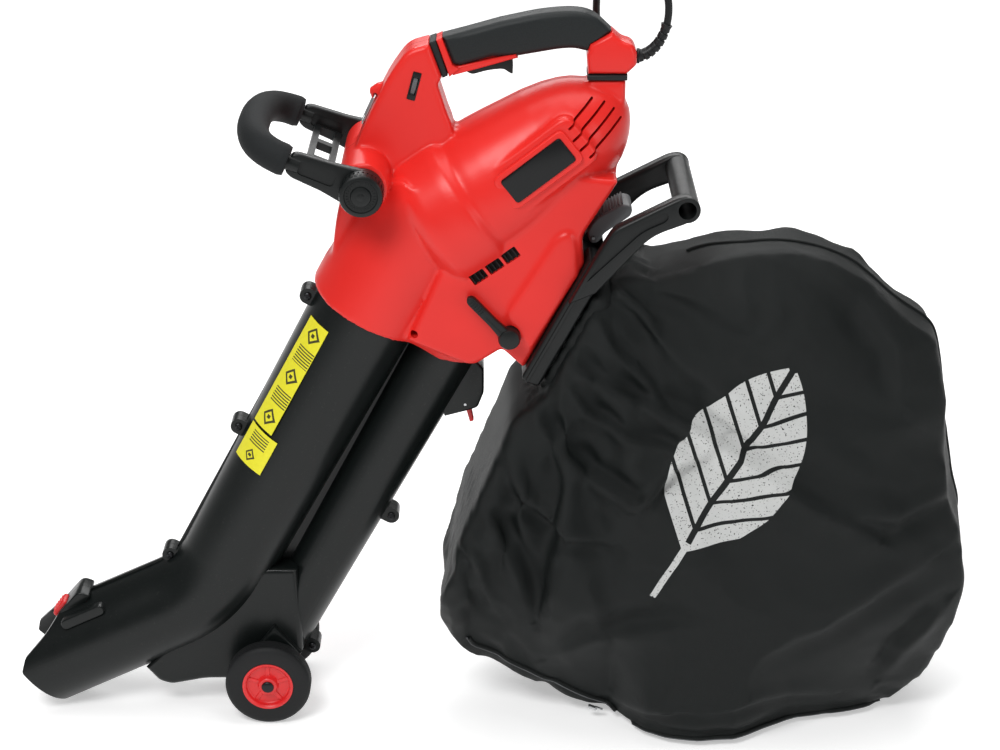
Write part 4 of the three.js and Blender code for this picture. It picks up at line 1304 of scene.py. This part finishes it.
# %% [markdown]
# ## The bag frame
# A moulded frame clips over the outlet. Its near and far cheeks run up into arms that carry a hollow
# bar with a rolled rim, the bar one lifts the bag by. The grey latch on top has finger ribs.

# %% Frame, latch and pins
BAR_AT = (197, 627)


def cheek(y0):
    outline = [OUTLET.flat(96, -2.3), OUTLET.flat(168, -2.3), (120, 606, 8), (190, 642, 10), (204, 641, 8),
               (212, 627, 8), (200, 613, 8), (160, 598, 16), OUTLET.flat(120, -22)]
    bm = bmesh.new()
    slab(bm, outline, y0, y0 + 18, 4, 3)
    return solid("cheek", bm)


def bag_frame():
    bm = bmesh.new()
    slant_slab(bm, OUTLET, -8, 148, -22.3, -0.3, -72, 72, 3.5, 3, 5)
    made = solid("bag_clip_frame", bm, 35)
    ends = cutter("bar", lambda b: cross_bar(b, *BAR_AT, -84, 84, 13.6))
    rim = [(0, 0), (0, 12.4), (1.2, 14), (4, 14), (5.2, 13), (5.2, 0)]
    rims = [cutter("rim", lambda b: spun(b, rim, place(*BAR_AT, y), ACROSS * way, 48))
            for y, way in ((-84, 1), (84, -1))]
    ledge = cutter("ledge", lambda b: slant_slab(b, OUTLET, -8, 148, -9, -5.4, -73.6, 73.6, 1.2, 3, 5))
    combine(made, [cheek(-84), cheek(66), ends, ledge, *rims], "UNION", 35)
    cuts = [
        cutter("window", lambda b: slant_slab(b, OUTLET, 12, 118, -28, 5, -47, 47, radius=6)),
        cutter("hollow", lambda b: cross_bar(b, *BAR_AT, -90, 90, 9.6)),
        cutter("latch_gap", lambda b: slant_slab(b, OUTLET, 136, 170, -20, 5, -25, 25)),
    ]
    for y in (-90, 81.5):
        pocket = [OUTLET.flat(128, -7), OUTLET.flat(150, -7), (122, 600, 5), (176, 627, 6), (178, 616, 8),
                  (150, 603, 10)]
        cuts.append(cutter("pocket", lambda b, y=y: slab(b, pocket, y, y + 8.5)))
    return combine(made, cuts, "DIFFERENCE", 35)


def latch():
    bm = bmesh.new()
    slab(bm, [(98, 569, 4), (94, 582, 5), (103, 597, 6), (132, 614, 5), (143, 611, 5), (142, 601, 5),
        (112, 580, 5),
              (107, 570, 4)], -22, 22, 2.4, 3)
    made = solid("bag_release", bm, 35)
    top = Line(100, 594, 29)
    ribs = bmesh.new()
    for i in range(9):
        s = 8 + 3.6 * i
        slant_slab(ribs, top, s, s + 1.5, -3, 3.4, -19, 19, 0.6, 2)
    combine(made, [solid("ribs", ribs)], "UNION", 35)
    return combine(made, [cutter("bore", lambda b: cross_bar(b, 101, 576, -30, 30, 2, 2, 20))],
        "DIFFERENCE", 35)


piece(bag_frame(), "tool", black_plastic, ["bag_frame"])
piece(latch(), "bag_latch", grey_plastic, ["bag_latch"])

# %% [markdown]
# ## The bag
# The bag is sewn from two side panels and stands half full of air on the floor. A closed form cut from
# its outline and a flattened ball gives the crown. Cloth simulation then blows it up a little with spare
# cloth, so that it buckles as cloth does, with the mouth held still and the floor under it. The large
# creases that run from the mouth are laid on top as folds: a ridge with a valley beside it.

# %% The bag's form and its simulation
BAG = [
    OUTLET.flat(-10, -25), OUTLET.flat(122, -25), (134, 560, 14), (205, 583, 20), (262, 597, 30),
        (330, 597, 40),
    (400, 570, 20), (440, 527, 20), (484, 497, 12), (500, 430, 30), (512, 320, 30), (538, 240, 20),
    (542, 180, 30), (520, 70, 30), (476, 3, 20), (440, 0), (150, 0, 20), (74, 30, 20), (-30, 84, 30),
    (-69, 160, 30), (-52, 240, 30), (-6, 350, 20), (8, 390, 10),
]
BAG_MIDDLE = (240, 215)
BAG_BALL = 405
BAG_HALF = 128


def bag_form():
    bm = bmesh.new()
    cx, cz = BAG_MIDDLE
    slab(bm, [(cx + (c[0] - cx) * 0.985, cz + (c[1] - cz) * 0.985, *c[2:]) for c in BAG], -125, 125)
    made = solid("cloth_bag", bm)
    bm = bmesh.new()
    bmesh.ops.create_uvsphere(bm, u_segments=64, v_segments=40, radius=1.0)
    bmesh.ops.rotate(bm, verts=bm.verts, cent=(0, 0, 0), matrix=Matrix.Rotation(math.pi / 2, 3, "X"))
    bmesh.ops.scale(bm, verts=bm.verts, vec=(BAG_BALL * MM, (BAG_HALF - 3) * MM, BAG_BALL * MM))
    bmesh.ops.translate(bm, verts=bm.verts, vec=place(cx, cz))
    combine(made, [solid("ball", bm)], "INTERSECT")
    applied(made, "REMESH", 180, mode="VOXEL", voxel_size=0.0085, use_smooth_shade=True)
    return applied(made, "SMOOTH", 180, factor=0.5, iterations=4)


def still_share(point):
    """1 at the mouth, where the cloth is clamped, falling to 0 a hand's width away."""
    dx, dz = point.x - OUTLET.at(0).x, point.z - OUTLET.at(0).z
    away = dx * math.sin(math.radians(61.8)) - dz * math.cos(math.radians(61.8))
    return max(0.0, min(1.0, (0.055 - away) / 0.035))


def blow_up(bag, frames=22):
    rest = [v.co.copy() for v in bag.data.vertices]
    held = bag.vertex_groups.new(name="held")
    for v in bag.data.vertices:
        held.add([v.index], still_share(v.co), "REPLACE")
    bm = bmesh.new()
    bmesh.ops.create_grid(bm, x_segments=2, y_segments=2, size=1.5)
    ground = solid("ground", bm)
    ground.modifiers.new("collision", "COLLISION")
    ground.collision.thickness_outer = 0.002
    cloth = bag.modifiers.new("cloth", "CLOTH")
    cloth.settings.quality = 6
    cloth.settings.mass = 0.25
    cloth.settings.tension_stiffness = 25
    cloth.settings.compression_stiffness = 12
    cloth.settings.shear_stiffness = 6
    cloth.settings.bending_stiffness = 0.6
    cloth.settings.shrink_min = -0.045
    cloth.settings.use_pressure = True
    cloth.settings.uniform_pressure_force = 1.6
    cloth.settings.effector_weights.gravity = 0.12
    cloth.settings.vertex_group_mass = "held"
    cloth.collision_settings.distance_min = 0.003
    cloth.point_cache.frame_start, cloth.point_cache.frame_end = 1, frames
    for number in range(1, frames + 1):
        scene.frame_set(number)
    seen = bpy.context.evaluated_depsgraph_get()
    mesh = bpy.data.meshes.new_from_object(bag.evaluated_get(seen))
    bag.modifiers.clear()
    bag.data = mesh
    scene.frame_set(1)
    bpy.data.objects.remove(ground)
    reach = 0.022
    for v, start in zip(mesh.vertices, rest):
        move = v.co - start
        if move.length > reach:
            v.co = start + move * (reach / move.length)
    bag.vertex_groups.clear()
    return bag


bag = bag_form()
print("bag before the simulation", len(bag.data.polygons), "faces")
blow_up(bag)
applied(bag, "SUBSURF", 180, levels=1, render_levels=1)

# %% [markdown]
# ### Folds in the cloth
# A fold is a path in the side plane with a height and a width. Near it the cloth rises to a ridge and
# dips beside it, and the height fades at both ends. Between the folds a slow noise stands for slack.

# %% Folds, slack and the flat base
FOLDS = [
    ([(40, 470), (118, 424), (190, 392), (262, 352), (340, 300), (410, 262)], 7.0, 13, 1),
    ([(24, 440), (44, 384), (92, 330), (150, 300), (176, 312)], 6.5, 11, 1),
    ([(150, 300), (168, 316), (196, 344), (236, 372)], 6.0, 9, -1),
    ([(16, 400), (6, 352), (24, 300), (72, 262), (122, 252)], 5.5, 10, -1),
    ([(-30, 300), (-6, 262), (20, 200), (34, 150)], 6.0, 12, 1),
    ([(-52, 250), (-30, 226), (-22, 190), (-6, 150)], 5.0, 9, -1),
    ([(96, 520), (120, 470), (160, 430), (178, 400)], 5.5, 11, 1),
    ([(110, 540), (150, 512), (172, 478)], 5.0, 9, -1),
    ([(66, 440), (92, 400), (140, 372), (200, 356)], 4.5, 9, 1),
    ([(330, 560), (390, 520), (430, 470), (440, 410)], 4.5, 16, -1),
    ([(420, 560), (446, 512), (478, 470)], 5.0, 12, 1),
    ([(500, 300), (440, 280), (380, 290)], 4.0, 14, 1),
    ([(280, 120), (350, 150), (420, 196), (470, 220)], 4.5, 18, -1),
    ([(60, 90), (110, 130), (180, 150), (250, 148)], 4.5, 16, 1),
    ([(130, 30), (200, 52), (300, 60), (380, 44)], 4.0, 12, -1),
    ([(440, 60), (460, 110), (500, 160)], 5.0, 12, 1),
]


def fold_height(x, z, path, height, width, side):
    """How far a fold lifts the cloth at a point, all in millimetres."""
    best, where, across = 1e9, 0.0, 0.0
    count = len(path) - 1
    for i in range(count):
        ax, az = path[i]
        bx, bz = path[i + 1]
        vx, vz = bx - ax, bz - az
        t = max(0.0, min(1.0, ((x - ax) * vx + (z - az) * vz) / (vx * vx + vz * vz)))
        dx, dz = x - ax - t * vx, z - az - t * vz
        away = math.hypot(dx, dz)
        if away < best:
            best, where = away, (i + t) / count
            across = math.copysign(away, vx * dz - vz * dx) * side
    if best > 5 * width:
        return 0.0
    fade = math.sin(math.pi * min(1.0, max(0.0, 0.06 + 0.88 * where))) ** 0.7
    ridge = math.exp(-((across / width) ** 2) * (4.5 if across > 0 else 0.8))
    valley = math.exp(-(((across - 1.2 * width) / (0.9 * width)) ** 2))
    return height * fade * (ridge - 0.9 * valley)


# half the bag's width on the near side where it rests on the floor, from its front end to its rear end
FOOT = [(-70, 20), (0, 38), (60, 46), (105, 50), (126, 53), (147, 84), (165, 107), (190, 120), (225, 126),
        (265, 119), (330, 80), (440, 50), (545, 40)]


def between(x, table):
    """Straight interpolation in a table of (x, value) pairs."""
    x = max(table[0][0], min(table[-1][0], x))
    for (x0, v0), (x1, v1) in zip(table, table[1:]):
        if x <= x1:
            return v0 + (v1 - v0) * (x - x0) / (x1 - x0)
    return table[-1][1]


def foot_scale(x, z):
    """The near side spreads where it rests on the floor and draws in towards both ends."""
    cx, cz = BAG_MIDDLE
    inside = 1 - ((x - cx) ** 2 + (cz - 10) ** 2) / BAG_BALL ** 2
    form = (BAG_HALF - 3) * math.sqrt(max(inside, 0.05))
    high = max(0.0, min(1.0, z / 190))
    blend = high * high * (3 - 2 * high)
    return blend + (1 - blend) * between(x, FOOT) / form


def lay_folds(bag):
    mesh = bag.data
    normals = [v.normal.copy() for v in mesh.vertices]
    for v, normal in zip(mesh.vertices, normals):
        x, z = (v.co.x - SHIFT) / MM, v.co.z / MM
        near = v.co.y < 0
        moved_x = x if near else x + 46
        moved_z = z if near else z - 24
        facing = min(1.0, abs(normal.y) * 1.5)
        lift = 1.45 * facing * sum(fold_height(moved_x, moved_z, *fold) for fold in FOLDS)
        slack = noise.noise(v.co * 9.0) * 5.0 + noise.noise(v.co * 24.0 + Vector((3, 1, 2))) * 2.2
        crumple = 1.0 - 2.0 * abs(noise.noise(Vector((v.co.x * 30, v.co.y * 14, v.co.z * 30))))
        crumple *= 2.6 * max(0.0, min(1.0, (360 - math.hypot(x - 60, z - 400)) / 240))
        free = 1.0 - still_share(v.co) * 0.9
        v.co += normal * ((lift + slack + crumple - 2.5) * MM * free)
        if near:
            v.co.y *= foot_scale(x, z)
        v.co.z = max(v.co.z, 0.0012 + 0.0010 * abs(noise.noise(v.co * 40.0)))
        v.co.y = max(-0.1305, min(0.1305, v.co.y))
    mesh.update()


lay_folds(bag)
piece(bag, "tool", bag_cloth, ["collection_bag"])

# %% [markdown]
# ### Seam, zip and collar of the bag
# The two panels meet in a seam with a piped edge round the middle of the bag. The lower stretch is the
# zip: a tape with a line of teeth. A folded collar of cloth grips the frame. The paths are found on
# the finished cloth with rays: the seam's inwards along the outline, the zip's across from the near side.

# %% Seam path, piping, zip and collar
bag_tree = BVHTree.FromPolygons([v.co for v in bag.data.vertices], [p.vertices for p in bag.data.polygons])


def on_cloth(x, z, y, lift):
    """The cloth's surface seen from outside towards the bag's middle, lifted a little off it."""
    middle = place(*BAG_MIDDLE, y * 0.6)
    start = middle + (place(x, z, y) - middle) * 1.5
    hit, normal, _, _ = bag_tree.ray_cast(start, (middle - start).normalized())
    return hit + normal * (lift * MM)


def seam_path(start, end, count, y_at, lift):
    """Points on the cloth from one angle to another round the bag's middle."""
    points = []
    for i in range(count + 1):
        t = i / count
        angle = math.radians(start + (end - start) * t)
        x = BAG_MIDDLE[0] + 330 * math.cos(angle)
        z = BAG_MIDDLE[1] + 330 * math.sin(angle)
        points.append(on_cloth(x, z, y_at(t), lift))
    return points


LOW_EDGE = [(-69, 160), (-30, 84), (74, 30), (140, 0), (440, 0), (476, 3), (520, 70), (545, 180)]


def near_edge(x, raise_by):
    """The near side's surface just above the bag's lower edge."""
    z = between(x, LOW_EDGE) + raise_by
    hit, normal, _, _ = bag_tree.ray_cast(place(x, z, -250), Vector((0, 1, 0)))
    return hit + normal * 0.0006 if hit else None


upper_seam = seam_path(-28, 96, 60, lambda t: 0.0, 0.4)
found = [near_edge(-36 + 5 * i, 10) for i in range(102)]
zip_line = [point for point in found if point]


def above_floor(points, least):
    return [Vector((p.x, p.y, max(p.z, least * MM))) for p in points]


piping = swept("seam_piping", above_floor(upper_seam, 2.2), lambda t: 2.0, 5)
piece(piping, "tool", plain_cloth)
tape = swept("zip_tape", above_floor(zip_line, 2.6), lambda t: 2.6, 5)
piece(tape, "tool", plain_cloth)


def zip_teeth():
    bm = bmesh.new()
    line = above_floor(zip_line, 3.0)
    for a, b in zip(line, line[1:]):
        for k in range(3):
            p = a.lerp(b, k / 3)
            way = (b - a).normalized()
            out = (p - place(*BAG_MIDDLE)).normalized()
            frame_at = Matrix((way, out.cross(way).normalized(), out)).transposed().to_4x4()
            bmesh.ops.create_cube(bm, size=1.0, matrix=Matrix.Translation(p + out * 0.0022) @ frame_at
                                  @ Matrix.Diagonal((0.0016, 0.0034, 0.0016, 1)))
    for v in bm.verts:
        v.co.z = max(v.co.z, 0.0004)
    return solid("zip_teeth", bm, 30)


piece(zip_teeth(), "tool", grey_plastic)


def collar():
    """A folded cuff of cloth that wraps the frame's rear edge, gathered into small pleats."""
    corners = [(-4, -52), (-4, 52), (10, 66), (112, 66), (126, 52), (126, -52), (112, -66), (10, -66)]
    loop = []
    for i, (s, y) in enumerate(corners):
        nxt = corners[(i + 1) % len(corners)]
        steps = max(2, int(math.hypot(nxt[0] - s, nxt[1] - y) / 5))
        for k in range(steps):
            t = k / steps
            loop.append((s + (nxt[0] - s) * t, y + (nxt[1] - y) * t))
    bm = bmesh.new()
    rows = []
    for depth, grow in ((-24.6, -1.0), (-25.6, 4.0), (-30, 6.5), (-36, 6.0), (-42, 3.0), (-47, -3.0)):
        row = []
        for i, (s, y) in enumerate(loop):
            pleat = 1.3 * math.sin(i * 1.9) + 0.9 * math.sin(i * 0.73 + 1)
            scale_s = 1 + (grow + pleat) / 66
            point = OUTLET.at(61 + (s - 61) * scale_s, depth + 0.5 * pleat, y * (1 + (grow + pleat) / 60))
            row.append(bm.verts.new(point))
        edges = [bm.edges.new((row[i], row[(i + 1) % len(row)])) for i in range(len(row))]
        if rows:
            bmesh.ops.bridge_loops(bm, edges=rows[-1] + edges)
        rows.append(edges)
    made = solid("mouth_cuff", bm, 60)
    applied(made, "SOLIDIFY", 60, thickness=0.0022, offset=0.0)
    return applied(made, "SUBSURF", 60, levels=1, render_levels=1)


piece(collar(), "tool", plain_cloth)

# %% [markdown]
# ## Small metal
# The zip's slider has a body and a pull tab with a slot. The strap ring is a bent wire with round
# corners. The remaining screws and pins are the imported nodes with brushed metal.

# %% Zip slider, strap ring and finishes for the nodes that stay


def slider():
    line = Line(106, 12.0, 158.4)
    bm = bmesh.new()
    slant_slab(bm, line, -6, 5, -4.2, -0.6, -64, -58.5, 1.0, 3, 2)
    made = solid("zip_pull", bm, 35)
    tab = cutter("tab", lambda b: slant_slab(b, line, -12.5, -3, -4.9, -3.3, -63, -59.5, 0.5, 2, 1))
    combine(made, [tab], "UNION", 35)
    slot_cut = cutter("slot", lambda b: slant_slab(b, line, -11.4, -8.2, -7, 0, -62, -60.5))
    return combine(made, [slot_cut], "DIFFERENCE", 35)


def wire_ring():
    top, low = Vector((-132.5, 731)), Vector((-146.5, 701))
    corners = [(top, -12), (low, -12), (low, 12), (top, 12)]
    points = []
    for i, (p, y) in enumerate(corners):
        here = place(p.x, p.y, y)
        for j in (-1, 1):
            q, qy = corners[(i + j) % 4]
            there = place(q.x, q.y, qy)
            points.append((here.lerp(there, 0.0035 / (there - here).length), here, j))
    curve = bpy.data.curves.new("strap_wire", "CURVE")
    curve.dimensions = "3D"
    spline = curve.splines.new("BEZIER")
    spline.bezier_points.add(len(points) - 1)
    spline.use_cyclic_u = True
    for knot, (p, corner, way) in zip(spline.bezier_points, points):
        knot.co = p
        towards, back = p.lerp(corner, 0.55), p.lerp(corner, -0.55)
        knot.handle_left, knot.handle_right = (back, towards) if way == -1 else (towards, back)
    curve.bevel_depth, curve.bevel_resolution, curve.resolution_u = 0.0014, 5, 8
    wire = bpy.data.objects.new("strap_wire", curve)
    scene.collection.objects.link(wire)
    mesh = bpy.data.meshes.new_from_object(wire.evaluated_get(bpy.context.evaluated_depsgraph_get()))
    bpy.data.objects.remove(wire)
    bm = bmesh.new()
    bm.from_mesh(mesh)
    return solid("strap_wire", bm, 50)


piece(slider(), "zip_slider", steel, ["zip_slider"])
piece(wire_ring(), "strap_ring", steel, ["strap_ring"])

KEPT = {
    steel: ["motor_stator", "front_bearing", "rear_bearing", "impeller_nut", "trigger_pin", "trigger_spring",
            "clamp_bolt", "tube_lock_pin", "axle", "bag_latch_pin"],
    copper: ["motor_armature"],
    alloy: ["rear_bearing_bridge", "impeller"],
    carbon: ["brush_left", "brush_right"],
    black_plastic: ["switch_body", "dial_spindle", "diverter_flap"],
}
for material, nodes in KEPT.items():
    for node in nodes:
        finish_node(node, material)
print("kept nodes", sum(len(nodes) for nodes in KEPT.values()))

# %% [markdown]
# ## Light and floor
# A white sweep and soft light from above and the left, as in a catalogue picture: a large lamp for the
# long highlights, a weaker one on the other side, and a dim surround. The floor glows a little, so that it
# stays white while the lamps are weak enough to keep the blacks black.

# %% Floor, lamps and surround


def studio():
    floor_bm = bmesh.new()
    bmesh.ops.create_grid(floor_bm, x_segments=1, y_segments=1, size=40.0)
    floor = solid("floor", floor_bm)
    floor.location.z = -0.0006
    g = Graph("floor_white")
    paper = g.noise(3.0, 3.0)
    far = ((g.axes()[1] - 0.4) * 0.35).most(0.0)
    floor.data.materials.append(g.finish(
        Base_Color=g.mix(paper, (0.86, 0.86, 0.86, 1), (0.89, 0.89, 0.89, 1)), Roughness=0.9,
        Emission_Color=g.mix(far, (1, 1, 1, 1), (2, 2, 2, 1))))
    g.shader.inputs["Emission Strength"].default_value = 0.42


def lamp(name, location, size, power):
    light = bpy.data.lights.new(name, "AREA")
    light.shape, light.size, light.size_y = "RECTANGLE", size[0], size[1]
    light.energy = power
    made = bpy.data.objects.new(name, light)
    scene.collection.objects.link(made)
    made.location = location
    made.rotation_euler = (Vector((0, 0, 0.4)) - Vector(location)).to_track_quat("-Z", "Y").to_euler()


studio()
lamp("key", (-1.0, -1.9, 2.7), (1.3, 1.0), 58)
lamp("fill", (2.3, -2.0, 1.2), (0.8, 1.4), 13)
lamp("top", (0.2, 0.3, 3.0), (2.4, 1.8), 46)
lamp("back", (0.3, 2.4, 2.0), (2.6, 0.8), 30)
world = bpy.data.worlds.new("surround")
scene.world = world
world.use_nodes = True
world.node_tree.nodes["Background"].inputs["Color"].default_value = (1, 1, 1, 1)
world.node_tree.nodes["Background"].inputs["Strength"].default_value = 0.16
scene.view_settings.view_transform = "Standard"
print("studio ready")
